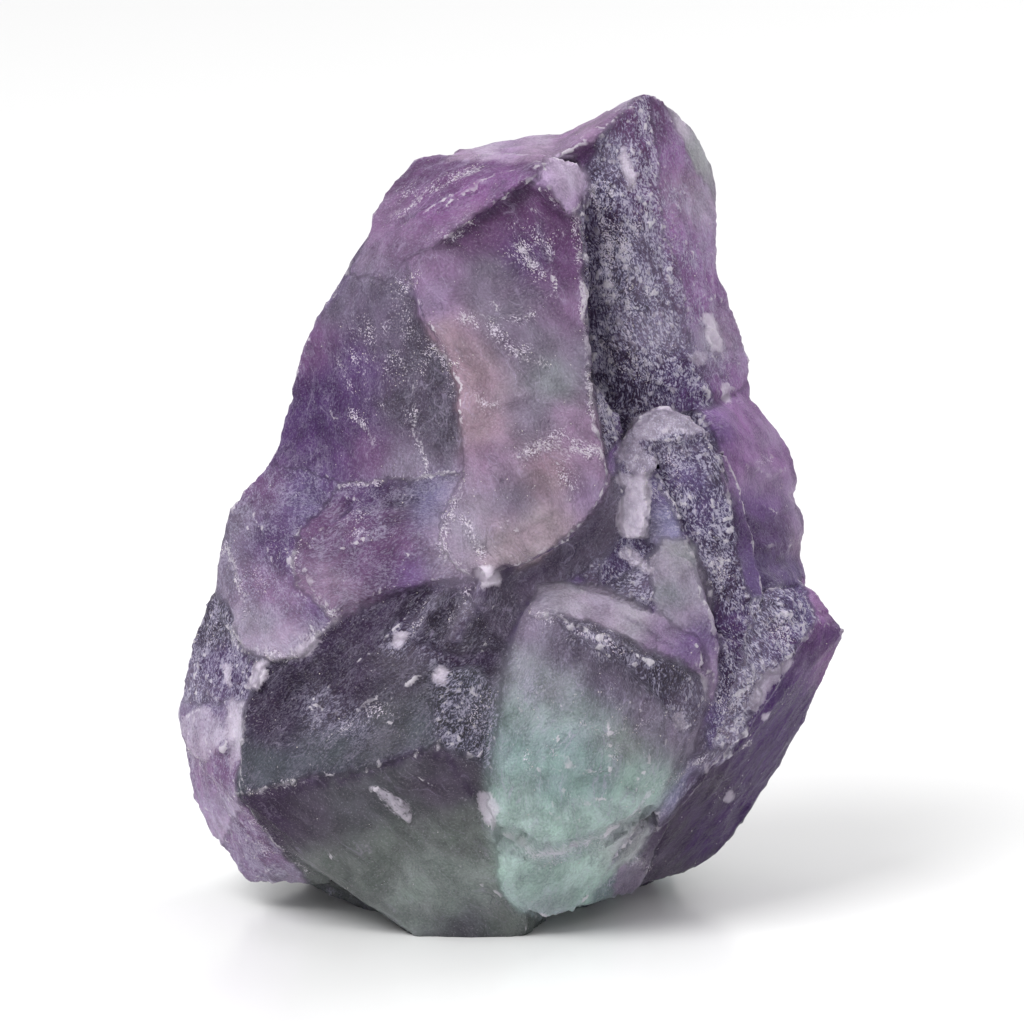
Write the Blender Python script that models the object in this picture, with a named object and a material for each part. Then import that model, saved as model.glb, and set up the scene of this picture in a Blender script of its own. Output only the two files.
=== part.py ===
"""Rough fluorite specimen: one broken, cleaved lump of banded fluorite that stands on its flat foot.

The lump is the union of convex chunks. A chunk is the stone between a few cleavage planes, so it is
drawn by its corners alone and its faces are the convex hull of them. Where chunks overlap they leave
the ledges, steps, notches and overhanging lips of a fluorite that broke along its cleavages.

Corners are (across, up, back) in millimetres. The front chunks are drawn on an elevation whose sheet
leans back by SHEET_TILT, so the foot shows under them. The rear chunks are drawn on an upright one.
A corner whose up is FOOT lies on the ground.
"""
import math

import bmesh
import bpy
from mathutils import Vector

MM = 0.001
SHEET_TILT = math.radians(12.0)   # lean of the sheet that the front chunks are drawn on
FOOT_FRONT = -9.5                 # depth of the foot's front edge, where the leaning sheet meets the ground
FOOT = None                       # stands for the height of a corner that lies on the ground
FOOT_OVERLAP = 0.6                # how far the chunks run below the ground before the foot is cut flat
CUTTER_SPAN = 80.0                # side of the block that cuts the foot
STONE_PURPLE = (0.119, 0.078, 0.157, 1.0)
STONE_ROUGHNESS = 0.38
STONE_NAME = "fluorite"

# The upright chunks of the rear, drawn square on: (across, height, back).
REAR_CHUNKS = {
    # the thick lower half, with a blunt ridge that runs down to the right across its rear
    "rear_mass": [
        (-14.5, 22.0, 8.8), (-17.2, 12.0, 8.0), (-14.8, 4.8, 8.4), (-11.2, 29.0, 9.2), (-8.0, 27.0, 12.2),
        (2.0, 31.0, 12.4), (12.4, 28.5, 10.4), (15.6, 21.0, 9.4), (16.2, 14.0, 9.2), (13.6, 6.4, 9.4),
        (7.6, 13.4, 14.4), (-3.0, 9.0, 13.4),
        (-17.8, 20.4, 2.0), (-19.6, 13.0, 2.6), (-19.6, 8.8, 2.8), (-18.8, 5.8, 2.6), (-16.6, 2.0, 2.6),
        (-13.8, 29.4, 2.6), (-16.8, 22.6, 2.4), (17.0, 24.8, 6.2), (17.4, 20.6, 5.6), (17.0, 13.6, 5.0),
        (-10.4, FOOT, 4.5), (-10.6, FOOT, 8.0), (-4.6, FOOT, 11.6), (4.8, FOOT, 12.8), (9.2, FOOT, 10.6),
        (8.6, FOOT, 5.0), (-7.0, FOOT, -4.0), (3.9, FOOT, -2.0), (14.2, 17.6, -3.0), (15.2, 13.0, -1.5),
        (5.5, 20.0, -4.5), (-7.0, 20.0, -3.0), (-10.0, 16.4, -4.0), (5.5, 10.0, -5.0),
    ],
    # the narrower upper half, with a hollow shoulder on its left
    "rear_column": [
        (-6.5, 43.8, 4.5), (3.0, 45.6, 7.5), (8.5, 48.4, 7.0), (11.0, 45.2, 9.0), (11.9, 43.0, 9.5),
        (11.6, 37.4, 8.4), (13.6, 31.2, 6.5), (-8.8, 39.8, 3.0), (-11.2, 35.6, 2.8), (-13.2, 31.4, 2.8),
        (-11.4, 26.8, 2.0), (11.8, 27.4, -1.0), (5.5, 30.4, -2.6), (-2.6, 38.6, -2.0),
        (-2.8, 41.6, 8.4), (3.4, 43.8, 9.8), (9.2, 45.6, 10.2), (12.0, 36.4, 11.0), (12.8, 29.6, 11.0),
        (-6.2, 36.2, 9.6), (-10.4, 28.4, 9.8), (0.6, 25.0, 12.8),
    ],
    # a cleavage sheet that is still in place on the upper right, one step proud of the column
    "rear_sheet": [
        (1.8, 41.6, 10.4), (5.4, 44.4, 10.7), (9.6, 45.6, 10.9), (11.7, 43.0, 11.0), (12.3, 36.6, 12.0),
        (12.2, 31.4, 12.4), (7.6, 28.0, 13.6), (3.4, 29.6, 13.7), (4.4, 33.2, 13.2), (1.4, 36.8, 12.4),
        (7.0, 38.0, 5.0),
    ],
    "rear_sheet_tongue": [
        (4.0, 32.6, 13.0), (3.2, 29.8, 13.6), (-1.4, 27.2, 13.4), (-2.6, 29.4, 12.6), (0.4, 33.6, 12.3),
        (2.4, 30.0, 6.0),
    ],
    # the flank slab of the lower left rear, whose top breaks off in a step
    "rear_flank": [
        (-16.6, 16.4, 8.0), (-15.8, 9.0, 9.3), (-12.8, 3.4, 10.4), (-6.4, 1.8, 12.4), (-3.6, 7.0, 14.1),
        (-6.2, 15.0, 13.9), (-9.6, 17.8, 12.6), (-12.8, 19.4, 10.8), (-8.0, 10.0, 4.0),
    ],
    # the broken sole of the rear, a low ledge along the ground
    "rear_heel": [
        (-9.4, FOOT, 10.2), (-3.4, FOOT, 12.9), (4.6, FOOT, 13.8), (9.4, FOOT, 11.8), (9.2, 4.2, 12.2),
        (4.4, 5.4, 13.9), (0.8, 3.6, 14.2), (-4.2, 4.6, 13.2), (-9.6, 2.6, 10.6), (0.0, 3.0, 2.0),
    ],
}

# The chunks of the front, drawn on the leaning sheet: (across, up, back).
FRONT_CHUNKS = {
    # the tall column on the right and the thin sliver that slopes down from its peak
    "column": [
        (8.0, 52.4, 3.4), (9.0, 52.2, 4.0), (11.1, 50.2, 6.0), (12.4, 48.1, 7.0), (12.8, 46.5, 7.0),
        (12.6, 41.2, 5.5), (12.5, 37.3, 4.5), (4.1, 48.2, 1.0), (3.0, 39.5, 0.6), (3.6, 30.8, -1.5),
        (8.0, 31.7, -2.6), (11.8, 32.6, -0.8), (7.6, 51.2, 2.4), (9.2, 50.8, 9.5), (11.8, 47.6, 10.0),
        (12.1, 40.8, 10.6), (1.8, 46.4, 8.0), (0.5, 33.2, 10.0),
    ],
    "column_rib": [
        (8.2, 50.4, 2.3), (8.6, 47.5, 1.4), (9.2, 43.0, 0.5), (9.8, 38.6, -0.4), (10.4, 35.4, -1.1),
        (5.2, 46.5, 0.7), (4.8, 42.0, 0.3), (4.6, 37.0, -0.5), (6.2, 33.4, -1.3), (11.4, 48.5, 5.8),
        (12.1, 44.0, 5.4), (11.9, 39.6, 3.2), (12.0, 35.6, 1.0), (9.0, 42.0, 6.0),
    ],
    "column_foot": [
        (5.5, 42.0, 0.8), (12.6, 41.5, 5.0), (13.6, 37.9, 4.6), (14.7, 35.9, 4.5), (14.6, 33.6, 4.2),
        (15.0, 32.3, 4.0), (11.8, 30.4, -1.4), (8.0, 30.1, -2.8), (3.6, 28.9, -3.0), (3.6, 37.6, 0.1),
        (14.1, 34.5, 8.0), (13.1, 37.6, 9.0), (5.5, 37.6, 10.0),
    ],
    "roof_bump": [
        (-4.1, 47.9, 3.2), (-3.6, 48.8, 4.2), (-2.6, 48.9, 4.8), (-0.8, 49.0, 5.8), (0.1, 49.4, 6.4),
        (1.1, 49.6, 7.0), (2.1, 49.4, 7.0), (3.1, 49.9, 6.4), (-3.8, 47.5, 2.2), (0.5, 47.5, 0.2),
        (2.1, 47.9, -0.6), (3.9, 48.4, 0.6), (3.0, 47.0, 8.6), (-2.0, 46.4, 7.4),
    ],
    "roof_sliver": [
        (2.2, 49.4, 6.6), (3.1, 49.9, 6.4), (5.5, 51.1, 5.0), (8.1, 52.4, 3.4), (7.5, 51.2, 2.2),
        (5.8, 49.5, 1.2), (4.1, 48.2, 0.6), (2.5, 48.0, -0.2), (5.5, 48.2, 6.0),
    ],
    # the crown over the left plates, with a lip that overhangs them
    "crown": [
        (-4.7, 48.4, 2.5), (-5.9, 48.1, 2.0), (-7.1, 47.0, 1.2), (-7.9, 45.9, 0.8), (-8.5, 45.0, 0.3),
        (-9.4, 42.6, -0.2), (-9.9, 41.2, -0.7), (-7.0, 41.4, -4.0), (-4.1, 43.1, -4.8), (0.9, 46.6, -4.2),
        (2.6, 48.2, -2.6), (0.5, 47.7, -1.5), (-3.6, 47.8, 1.2), (-4.5, 45.8, -2.2), (-5.8, 46.4, 6.4),
        (-7.0, 42.6, 7.0), (0.5, 46.4, 8.4),
    ],
    "crown_band": [
        (-9.4, 41.3, -1.6), (-7.0, 41.2, -4.3), (-4.1, 42.9, -5.2), (0.9, 46.4, -4.6), (2.3, 47.5, -3.9),
        (-8.6, 43.0, -1.9), (-6.6, 44.2, -2.9), (-3.6, 45.8, -3.5), (-0.5, 47.1, -3.4), (1.6, 47.9, -3.1),
        (-3.0, 44.5, 1.0), (-7.5, 42.6, 1.0), (0.5, 46.6, 0.5),
    ],
    "crown_corner": [
        (0.8, 46.4, -3.7), (2.3, 48.0, -3.0), (3.8, 48.0, -2.2), (4.6, 46.9, -2.2), (4.2, 45.0, -3.6),
        (3.4, 44.4, -4.7), (2.2, 45.8, -5.1), (3.0, 46.4, 2.0),
    ],
    # the two big cleavage plates of the left half and the apron below them
    "left_plate": [
        (-8.8, 43.8, -0.2), (-9.9, 41.2, -0.6), (-10.8, 40.1, -0.8), (-11.9, 38.8, -0.8), (-13.0, 36.2, -0.9),
        (-13.7, 33.6, -1.0), (-14.3, 31.2, -1.0), (-7.6, 42.6, -3.1), (-2.6, 42.6, -3.4), (-2.6, 33.2, -6.0),
        (-3.4, 28.6, -8.4),
        (-10.4, 27.8, -4.6), (-13.9, 28.9, -2.2), (-7.0, 21.4, -8.9), (-4.5, 22.2, -9.7), (-2.2, 22.9, -10.2),
        (-12.6, 30.8, 7.0), (-11.4, 37.6, 6.0), (-3.9, 43.2, 6.0), (-11.4, 20.8, -3.0),
    ],
    "left_apron": [
        (-14.3, 31.4, -1.0), (-15.4, 29.5, -1.2), (-16.7, 27.6, -1.6), (-17.6, 26.3, -2.0), (-18.1, 24.2, -2.3),
        (-18.4, 21.2, -2.6), (-17.8, 19.4, -4.0), (-16.8, 18.2, -6.0), (-14.8, 17.2, -7.6), (-13.2, 17.5, -8.2),
        (-10.4, 20.0, -8.2), (-7.0, 21.4, -8.6), (-10.4, 27.8, -4.4), (-11.4, 23.2, -7.4), (-17.0, 23.2, -4.0),
        (-13.2, 23.2, -6.6), (-15.8, 25.8, 6.0), (-17.0, 20.8, 6.0), (-13.2, 20.8, 8.0), (-7.0, 27.0, 8.0),
    ],
    "left_low_step": [
        (-9.6, 26.8, -6.1), (-12.2, 25.0, -6.3), (-12.9, 23.0, -7.1), (-12.4, 21.4, -7.9), (-11.0, 20.2, -8.4),
        (-7.0, 21.5, -9.0), (-4.2, 22.4, -9.6), (-4.6, 24.6, -8.9), (-7.2, 26.4, -7.6), (-9.0, 23.0, -3.0),
    ],
    "centre_plate": [
        (-6.9, 42.2, -3.8), (-4.1, 43.8, -4.1), (1.2, 46.9, -3.3), (2.8, 47.4, -2.0), (4.0, 47.4, -1.9),
        (4.4, 46.6, -2.3), (4.1, 44.8, -3.4), (4.6, 37.6, -6.2), (5.0, 33.2, -7.6), (-3.3, 34.0, -7.1),
        (-5.3, 37.8, -5.8), (-4.5, 42.6, 3.0), (3.0, 45.8, 5.0), (2.0, 30.0, 0.0),
    ],
    "centre_lip": [
        (5.0, 33.2, -7.6), (5.5, 29.8, -9.0), (5.9, 28.4, -8.7), (5.3, 26.7, -9.2), (3.6, 24.5, -10.0),
        (1.8, 23.4, -10.4), (-0.4, 22.5, -10.8), (-1.7, 22.2, -10.9), (-2.6, 22.7, -10.5), (-3.0, 28.9, -8.8),
        (-3.3, 34.0, -7.1), (0.5, 28.9, -10.2), (3.0, 27.0, 2.0), (-2.0, 24.5, 0.0), (1.0, 37.0, 1.0),
    ],
    "lip_step": [
        (4.6, 34.6, -5.2), (5.6, 33.4, -4.6), (6.6, 31.2, -4.9), (6.7, 29.2, -5.6), (6.2, 27.8, -6.6),
        (5.2, 28.0, -7.6), (4.8, 31.0, -7.0), (6.0, 31.0, -1.0),
    ],
    "lip_bead": [
        (-2.1, 22.9, -10.8), (-1.6, 23.1, -11.2), (-1.1, 22.8, -11.0), (-1.0, 22.2, -10.6), (-1.5, 21.8, -10.4),
        (-2.1, 22.2, -10.6), (-1.6, 22.5, -11.6), (-1.6, 22.6, -9.0),
    ],
    # the sunken floor between the plates' lip and the lower blocks
    "valley": [
        (-4.5, 21.6, -7.8), (-1.2, 23.6, -9.2), (2.8, 25.3, -8.2), (5.2, 28.4, -7.0), (6.8, 29.8, -5.6),
        (8.1, 27.0, -5.8), (6.4, 23.2, -7.0), (6.0, 21.5, -7.5), (1.5, 21.1, -9.1), (-0.6, 20.0, -9.6),
        (0.5, 20.8, 2.0), (5.5, 25.8, 2.0), (-3.9, 19.5, 0.0),
    ],
    "valley_seam": [
        (2.1, 21.2, -7.2), (6.2, 23.5, -6.6), (8.0, 23.5, -6.9), (9.0, 22.3, -7.6), (9.5, 20.8, -8.2),
        (8.9, 19.8, -8.1), (5.5, 21.1, -7.7), (6.8, 21.4, 0.0),
    ],
    # the rounded lobes of the right shoulder
    "shoulder_top": [
        (11.1, 32.9, -0.8), (14.6, 33.8, 3.6), (15.6, 32.2, 3.6), (16.7, 31.0, 4.2), (17.4, 29.6, 4.4),
        (17.9, 28.4, 4.6), (17.6, 27.4, 4.6), (15.5, 26.7, 0.4), (13.1, 28.9, -3.2), (12.7, 31.4, -2.4),
        (14.2, 25.1, -2.0), (16.8, 29.5, 8.0), (14.2, 32.0, 8.0), (15.5, 27.0, 9.0),
    ],
    "shoulder_middle": [
        (13.9, 28.2, -1.6), (17.4, 27.5, 4.2), (18.2, 26.3, 4.2), (18.3, 25.3, 4.0), (18.0, 23.4, 3.6),
        (15.5, 22.3, -1.6), (13.9, 23.2, -3.0), (17.6, 24.5, 8.0), (14.2, 23.2, 10.0),
    ],
    "shoulder_foot": [
        (13.9, 23.5, -2.6), (18.0, 23.7, 3.8), (18.3, 22.8, 3.4), (18.4, 22.1, 3.2), (18.1, 21.0, 2.6),
        (16.4, 21.7, -1.8), (16.1, 20.0, -2.8), (13.9, 20.1, -3.8), (17.6, 23.2, 8.0), (17.5, 21.1, 8.0),
        (14.2, 22.0, 10.0),
    ],
    # the smooth wing that flares out at the lower right
    "wing": [
        (17.8, 22.0, 1.2), (18.8, 21.2, 1.0), (19.8, 19.9, 0.4), (20.8, 18.9, -0.4), (20.2, 17.3, 0.4),
        (19.7, 16.2, 1.0), (18.1, 12.5, 2.4), (16.7, 10.1, 3.0), (15.7, 8.8, 3.2), (14.1, 6.1, 3.4),
        (13.1, 4.8, 3.2), (11.6, 3.8, 2.6), (18.8, 19.4, -2.2), (17.2, 17.2, -4.2), (15.4, 15.1, -5.4),
        (14.3, 12.6, -5.8), (11.8, 10.2, -6.4), (9.6, 7.7, -6.2), (8.0, 5.4, -5.6), (8.0, 2.9, -0.5),
        (18.6, 18.2, 7.0), (18.3, 15.4, 8.4), (13.2, 8.4, 9.6), (8.0, 8.2, 9.0),
    ],
    # the broken ridges between the valley and the shoulder, and the chips that stand on them
    "ridge_left": [
        (5.9, 29.2, -4.4), (8.0, 28.9, -5.2), (8.9, 28.9, -5.6), (10.0, 27.0, -6.2), (11.1, 24.5, -6.6),
        (11.9, 20.8, -7.2), (12.5, 18.2, -7.4), (11.9, 14.5, -6.2), (8.0, 14.5, -6.5), (5.5, 19.5, -7.0),
        (5.4, 23.2, -6.6), (6.8, 26.7, -6.2), (6.8, 27.0, 2.0), (10.5, 20.8, 2.0),
    ],
    "ridge_right": [
        (8.4, 30.9, -4.9), (9.5, 31.3, -5.0), (11.8, 31.4, -4.7), (12.8, 29.5, -4.7), (13.5, 27.0, -4.9),
        (13.9, 23.2, -5.0), (14.1, 20.8, -5.0), (12.9, 17.6, -5.6), (11.9, 22.6, -6.0), (10.9, 26.4, -5.4),
        (11.8, 30.1, 4.0), (13.0, 23.2, 4.0), (11.8, 20.8, 2.0),
    ],
    "ridge_crease": [
        (12.9, 30.6, -3.4), (13.9, 28.0, -3.6), (14.9, 24.6, -3.8), (15.4, 21.8, -4.0), (14.9, 19.4, -5.2),
        (13.9, 17.4, -6.3), (12.5, 17.2, -6.6), (12.9, 22.0, -5.3), (12.8, 26.4, -4.8), (14.0, 24.0, 2.0),
    ],
    "arch_chip": [
        (6.6, 30.5, -4.4), (7.6, 31.9, -4.2), (8.6, 32.7, -4.0), (9.6, 32.7, -4.2), (10.8, 32.1, -4.6),
        (11.9, 31.0, -5.0),
        (10.4, 30.7, -5.6), (8.3, 30.3, -5.6), (8.0, 30.8, 0.0), (10.5, 31.4, 0.0),
    ],
    "arch_foot": [
        (6.4, 30.3, -4.8), (6.4, 29.4, -5.2), (7.2, 28.8, -6.0), (8.4, 28.7, -6.4), (9.1, 29.2, -6.2),
        (8.8, 30.2, -5.6), (7.7, 29.6, 0.0),
    ],
    "oval_chip": [
        (6.2, 28.4, -5.6), (6.6, 28.6, -6.0), (7.1, 28.6, -6.3), (7.3, 28.2, -6.4), (7.1, 27.8, -6.2),
        (6.5, 27.8, -5.8), (6.8, 28.2, -3.0),
    ],
    "blade_chip": [
        (7.6, 28.5, -5.8), (8.4, 28.4, -6.4), (8.5, 26.2, -7.2), (8.2, 24.6, -7.6), (6.8, 24.7, -7.2),
        (6.5, 25.8, -6.8), (6.8, 27.1, -6.4), (7.5, 27.0, -2.0),
    ],
    "stub_chip": [
        (6.6, 23.8, -6.7), (6.9, 24.0, -6.9), (7.4, 23.9, -7.1), (8.9, 22.5, -8.0), (8.5, 22.4, -7.8),
        (7.5, 23.1, -7.5), (6.8, 23.2, -7.1), (7.8, 23.2, -4.0),
    ],
    "frosted_boss": [
        (14.6, 20.8, -4.4), (16.4, 21.7, -3.2), (18.0, 21.2, -1.2), (18.8, 19.4, -2.2), (17.4, 17.3, -4.8),
        (15.4, 15.6, -6.0), (15.0, 14.2, -6.3), (14.3, 12.6, -6.4), (13.1, 11.3, -6.6), (11.6, 10.4, -6.6),
        (13.9, 18.2, -6.2), (13.5, 14.5, -6.6), (11.8, 12.0, -6.4), (15.5, 19.5, 5.0), (13.0, 14.5, 5.0),
        (17.4, 19.5, 4.0),
    ],
    # the big green-footed tooth of the lower centre, the ridge behind its shoulder and its tip
    "tooth_ridge": [
        (8.1, 23.2, -7.4), (9.4, 24.0, -7.2), (11.1, 23.2, -7.4), (11.9, 20.8, -7.8), (12.5, 18.2, -8.4),
        (12.2, 15.1, -8.8), (11.6, 14.5, -9.0), (9.2, 18.2, -9.4), (8.8, 20.8, -8.6), (11.8, 18.2, 0.0),
        (9.2, 22.0, 0.0), (11.1, 12.0, -6.0),
    ],
    "tooth": [
        (2.1, 21.6, -7.4), (3.0, 21.8, -7.4), (5.2, 21.2, -7.8), (8.6, 19.9, -8.0), (11.4, 18.1, -7.6),
        (12.1, 15.1, -8.4), (1.1, 20.4, -9.6), (2.1, 20.0, -10.8), (5.5, 18.6, -11.6), (8.0, 17.2, -11.4),
        (10.2, 16.5, -10.6), (11.1, 14.5, -10.0), (-0.2, 17.6, -10.6), (-0.8, 14.5, -11.4), (-1.4, 9.8, -12.6),
        (-1.5, 8.9, -12.7), (3.0, 10.8, -13.6), (8.0, 10.8, -12.2), (10.6, 11.5, -9.4), (8.9, 8.5, -9.8),
        (-0.9, 6.5, -12.6), (1.8, 4.7, -12.8), (5.5, 5.9, -11.8), (3.0, 14.5, 0.0), (6.8, 9.5, 0.0),
        (0.5, 8.2, -2.0), (8.0, 18.2, 0.0),
    ],
    "tooth_roll": [
        (1.7, 21.0, -9.0), (3.2, 21.7, -8.7), (5.6, 21.3, -8.5), (8.6, 20.0, -8.8), (11.4, 18.2, -9.1),
        (12.0, 16.4, -9.4), (10.4, 16.9, -10.2), (8.2, 17.9, -10.8), (5.4, 19.2, -10.9), (2.8, 20.1, -10.6),
        (1.6, 20.4, -10.0), (6.5, 19.0, -5.0),
    ],
    "tooth_tip": [
        (-0.9, 8.2, -11.2), (-0.8, 4.0, -11.0), (-0.2, 3.1, -10.6), (0.3, 2.0, -10.2), (2.1, 1.2, -9.6),
        (3.9, 1.6, -9.2), (5.5, 3.1, -9.2), (6.8, 5.1, -9.4), (8.6, 8.2, -9.0), (5.5, 6.1, -10.6),
        (1.8, 5.1, -11.8), (1.8, 8.2, -4.0), (5.5, 8.2, -4.0), (3.6, 2.6, -5.0),
    ],
    "tooth_seam": [
        (12.6, 18.6, -7.2), (14.1, 18.0, -6.8), (14.6, 15.6, -6.9), (13.8, 12.4, -7.3), (12.2, 10.6, -7.6),
        (8.8, 6.2, -8.5), (8.7, 7.9, -9.5), (10.4, 11.4, -9.3), (11.6, 14.8, -8.9), (12.4, 16.8, -8.3),
        (11.0, 17.6, 0.0), (13.6, 16.6, 0.0), (10.8, 9.8, 0.0),
    ],
    "tooth_back": [
        (6.8, 5.1, -7.6), (9.2, 7.9, -7.8), (11.1, 10.1, -7.4), (8.0, 5.8, -6.4), (6.2, 2.7, -5.4),
        (4.9, 2.0, -7.4), (3.9, 1.6, -8.0), (7.4, 2.5, -3.6), (8.0, 2.9, -3.0), (3.0, 4.5, -8.0),
        (5.5, 8.2, 0.0), (9.2, 8.2, 0.0),
    ],
    # the dark block of the lower left, the loose flake on it, and the flank beside it
    "lower_block": [
        (-15.7, 17.2, -6.4), (-13.2, 18.9, -7.2), (-10.4, 20.9, -7.6), (-7.0, 22.4, -8.2), (-2.6, 23.3, -9.4),
        (-0.8, 22.9, -9.6), (0.9, 20.8, -9.2), (-16.2, 14.5, -7.7), (-16.6, 11.7, -8.5), (-16.8, 8.8, -9.2),
        (-13.2, 9.7, -11.4), (-8.9, 10.5, -12.8), (-4.5, 11.9, -13.6), (-2.0, 10.9, -13.0), (-0.6, 9.8, -12.4),
        (-15.1, 6.2, -7.6), (-12.1, 4.0, -6.6), (-9.5, 2.6, -6.6), (-7.1, 1.2, -8.2), (-5.7, -0.2, -9.4),
        (-2.6, -0.2, -9.7), (1.0, -0.2, -9.2), (0.0, 3.2, -10.4), (-13.2, 14.5, 4.0), (0.5, 14.5, 4.0),
        (-5.1, FOOT, -8.9), (0.6, FOOT, -8.9), (3.0, FOOT, -2.0), (-7.0, FOOT, -4.0),
    ],
    "flake_chip": [
        (-8.7, 9.4, -12.6), (-8.0, 9.2, -13.1), (-6.7, 8.5, -13.1), (-6.2, 8.2, -12.9), (-6.2, 6.9, -12.2),
        (-7.0, 7.4, -12.7), (-7.8, 8.1, -12.9), (-7.3, 8.2, -11.0),
    ],
    "left_flank": [
        (-18.4, 21.4, -1.8), (-19.2, 19.5, -1.4), (-19.8, 18.1, -1.2), (-20.5, 15.1, -1.0), (-20.8, 13.8, -0.8),
        (-20.6, 12.0, -0.6), (-20.1, 10.8, -0.4), (-20.1, 9.8, -0.4), (-19.6, 8.1, -0.6), (-18.8, 6.2, -0.8),
        (-17.6, 5.0, -1.2), (-17.0, 4.0, -1.6), (-16.7, 18.2, -5.6), (-15.6, 16.5, -6.6), (-16.2, 14.5, -7.4),
        (-16.6, 11.7, -8.0), (-16.8, 8.9, -8.4), (-15.1, 6.2, -6.8), (-19.5, 17.6, 4.0), (-20.2, 13.2, 4.5),
        (-19.5, 8.2, 4.0), (-13.2, 18.2, 7.0), (-13.2, 8.2, 7.0),
    ],
    "flank_chip": [
        (-20.5, 13.5, -1.6), (-19.5, 14.1, -3.4), (-18.1, 13.8, -5.4), (-17.0, 12.4, -7.6), (-17.8, 11.4, -7.0),
        (-19.1, 10.9, -4.6), (-20.1, 11.2, -2.2), (-18.6, 12.6, -1.0),
    ],
    "seam_chip": [
        (-16.3, 15.2, -7.6), (-16.6, 18.0, -5.9), (-15.6, 17.9, -6.8), (-15.1, 16.3, -7.9), (-15.5, 15.3, -8.0),
        (-15.0, 18.4, -4.0), (-16.0, 16.0, -4.0),
    ],
    "left_foot": [
        (-17.8, 5.4, -1.4), (-17.0, 3.8, -1.8), (-16.4, 3.2, -2.2), (-15.6, 3.1, -2.8), (-13.2, 3.3, -3.6),
        (-12.6, 3.5, -4.0), (-10.8, 3.0, -4.6), (-15.1, 6.4, -7.0), (-12.0, 5.1, -6.8), (-16.7, 8.6, -7.6),
        (-17.9, 8.2, -2.0), (-13.2, 5.1, 6.0), (-16.8, 5.8, 5.0), (-10.8, 5.8, 4.0),
    ],
}


def place(across, up, back, tilt):
    """Returns the point, in millimetres, of a corner drawn on a sheet that leans back by tilt."""
    if up is FOOT:
        return Vector((across, back, -FOOT_OVERLAP))
    height = (up - (back - FOOT_FRONT) * math.sin(tilt)) / math.cos(tilt)
    return Vector((across, back, height))


def chunk_points():
    """Returns each chunk's name and its corners as points in millimetres."""
    points = {}
    for chunks, tilt in ((REAR_CHUNKS, 0.0), (FRONT_CHUNKS, SHEET_TILT)):
        for name, corners in chunks.items():
            points[name] = [place(*corner, tilt) for corner in corners]
    return points


def middle_of(points):
    """Returns the middle, across and back, of the box around all the chunks."""
    everything = [point for corners in points.values() for point in corners]
    across = [point.x for point in everything]
    back = [point.y for point in everything]
    return Vector(((min(across) + max(across)) / 2, (min(back) + max(back)) / 2, 0.0))


def hull_mesh(name, points):
    """Returns the closed mesh of the convex hull of some points."""
    form = bmesh.new()
    for point in points:
        form.verts.new(point)
    hull = bmesh.ops.convex_hull(form, input=form.verts)
    inside = {item for key in ("geom_interior", "geom_unused") for item in hull[key]}
    loose = [item for item in inside if isinstance(item, bmesh.types.BMVert)]
    bmesh.ops.delete(form, geom=loose, context="VERTS")
    bmesh.ops.recalc_face_normals(form, faces=form.faces)
    mesh = bpy.data.meshes.new(name)
    form.to_mesh(mesh)
    form.free()
    return mesh


def foot_cutter(collection):
    """Adds the block under the ground that cuts the stone's foot flat."""
    form = bmesh.new()
    side = CUTTER_SPAN * MM
    bmesh.ops.create_cube(form, size=side)
    mesh = bpy.data.meshes.new("foot_cutter")
    form.to_mesh(mesh)
    form.free()
    cutter = bpy.data.objects.new("foot_cutter", mesh)
    cutter.location = (0.0, 0.0, -side / 2)
    collection.objects.link(cutter)
    return cutter


def stone_material():
    """Returns the plain stone material of the CAD model."""
    material = bpy.data.materials.new("banded_fluorite")
    material.use_nodes = True
    shader = material.node_tree.nodes["Principled BSDF"]
    shader.inputs["Base Color"].default_value = STONE_PURPLE
    shader.inputs["Roughness"].default_value = STONE_ROUGHNESS
    shader.inputs["Metallic"].default_value = 0.0
    return material


def boolean(piece, name, operation, operand):
    """Adds an exact Boolean of the piece with an object or with a whole collection."""
    modifier = piece.modifiers.new(name, "BOOLEAN")
    modifier.operation = operation
    modifier.solver = "EXACT"
    if isinstance(operand, bpy.types.Collection):
        modifier.operand_type = "COLLECTION"
        modifier.collection = operand
    else:
        modifier.object = operand


def build():
    """Models the stone in its own collection and its chunks and cutter in others."""
    for item in list(bpy.data.objects):
        bpy.data.objects.remove(item)
    collections = {}
    for title in ("rough_fluorite", "chunks", "cutters"):
        collections[title] = bpy.data.collections.new(title)
        bpy.context.scene.collection.children.link(collections[title])

    points = chunk_points()
    middle = middle_of(points)
    stone = None
    for name, corners in points.items():
        mesh = hull_mesh(name, [(corner - middle) * MM for corner in corners])
        if stone is None:
            stone = bpy.data.objects.new(STONE_NAME, mesh)
            collections["rough_fluorite"].objects.link(stone)
            continue
        chunk = bpy.data.objects.new(name, mesh)
        collections["chunks"].objects.link(chunk)
        chunk.hide_render = True
        chunk.display_type = "WIRE"

    cutter = foot_cutter(collections["cutters"])
    cutter.hide_render = True
    cutter.display_type = "WIRE"
    boolean(stone, "join_chunks", "UNION", collections["chunks"])
    boolean(stone, "cut_foot", "DIFFERENCE", cutter)
    stone.data.materials.append(stone_material())


build()
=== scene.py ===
# %% [markdown]
# # A rough fluorite, finished
# The real object is one lump of fluorite that broke along its cleavages. Its look has three parts: the
# form, which is flat plates with sharp, chipped edges; the colour, which runs in clouds of purple, grey and
# green; and the surface, which is waxy on the plates and sugary where the break is rough, with pale crumbs
# in the cracks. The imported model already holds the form. This lesson gives it a fine skin, paints it,
# breaks its edges, strews the crumbs and lights it.

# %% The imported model, which every step is fitted to
import math

import bmesh
import bpy
import numpy as np
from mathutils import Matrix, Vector, noise


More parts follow.
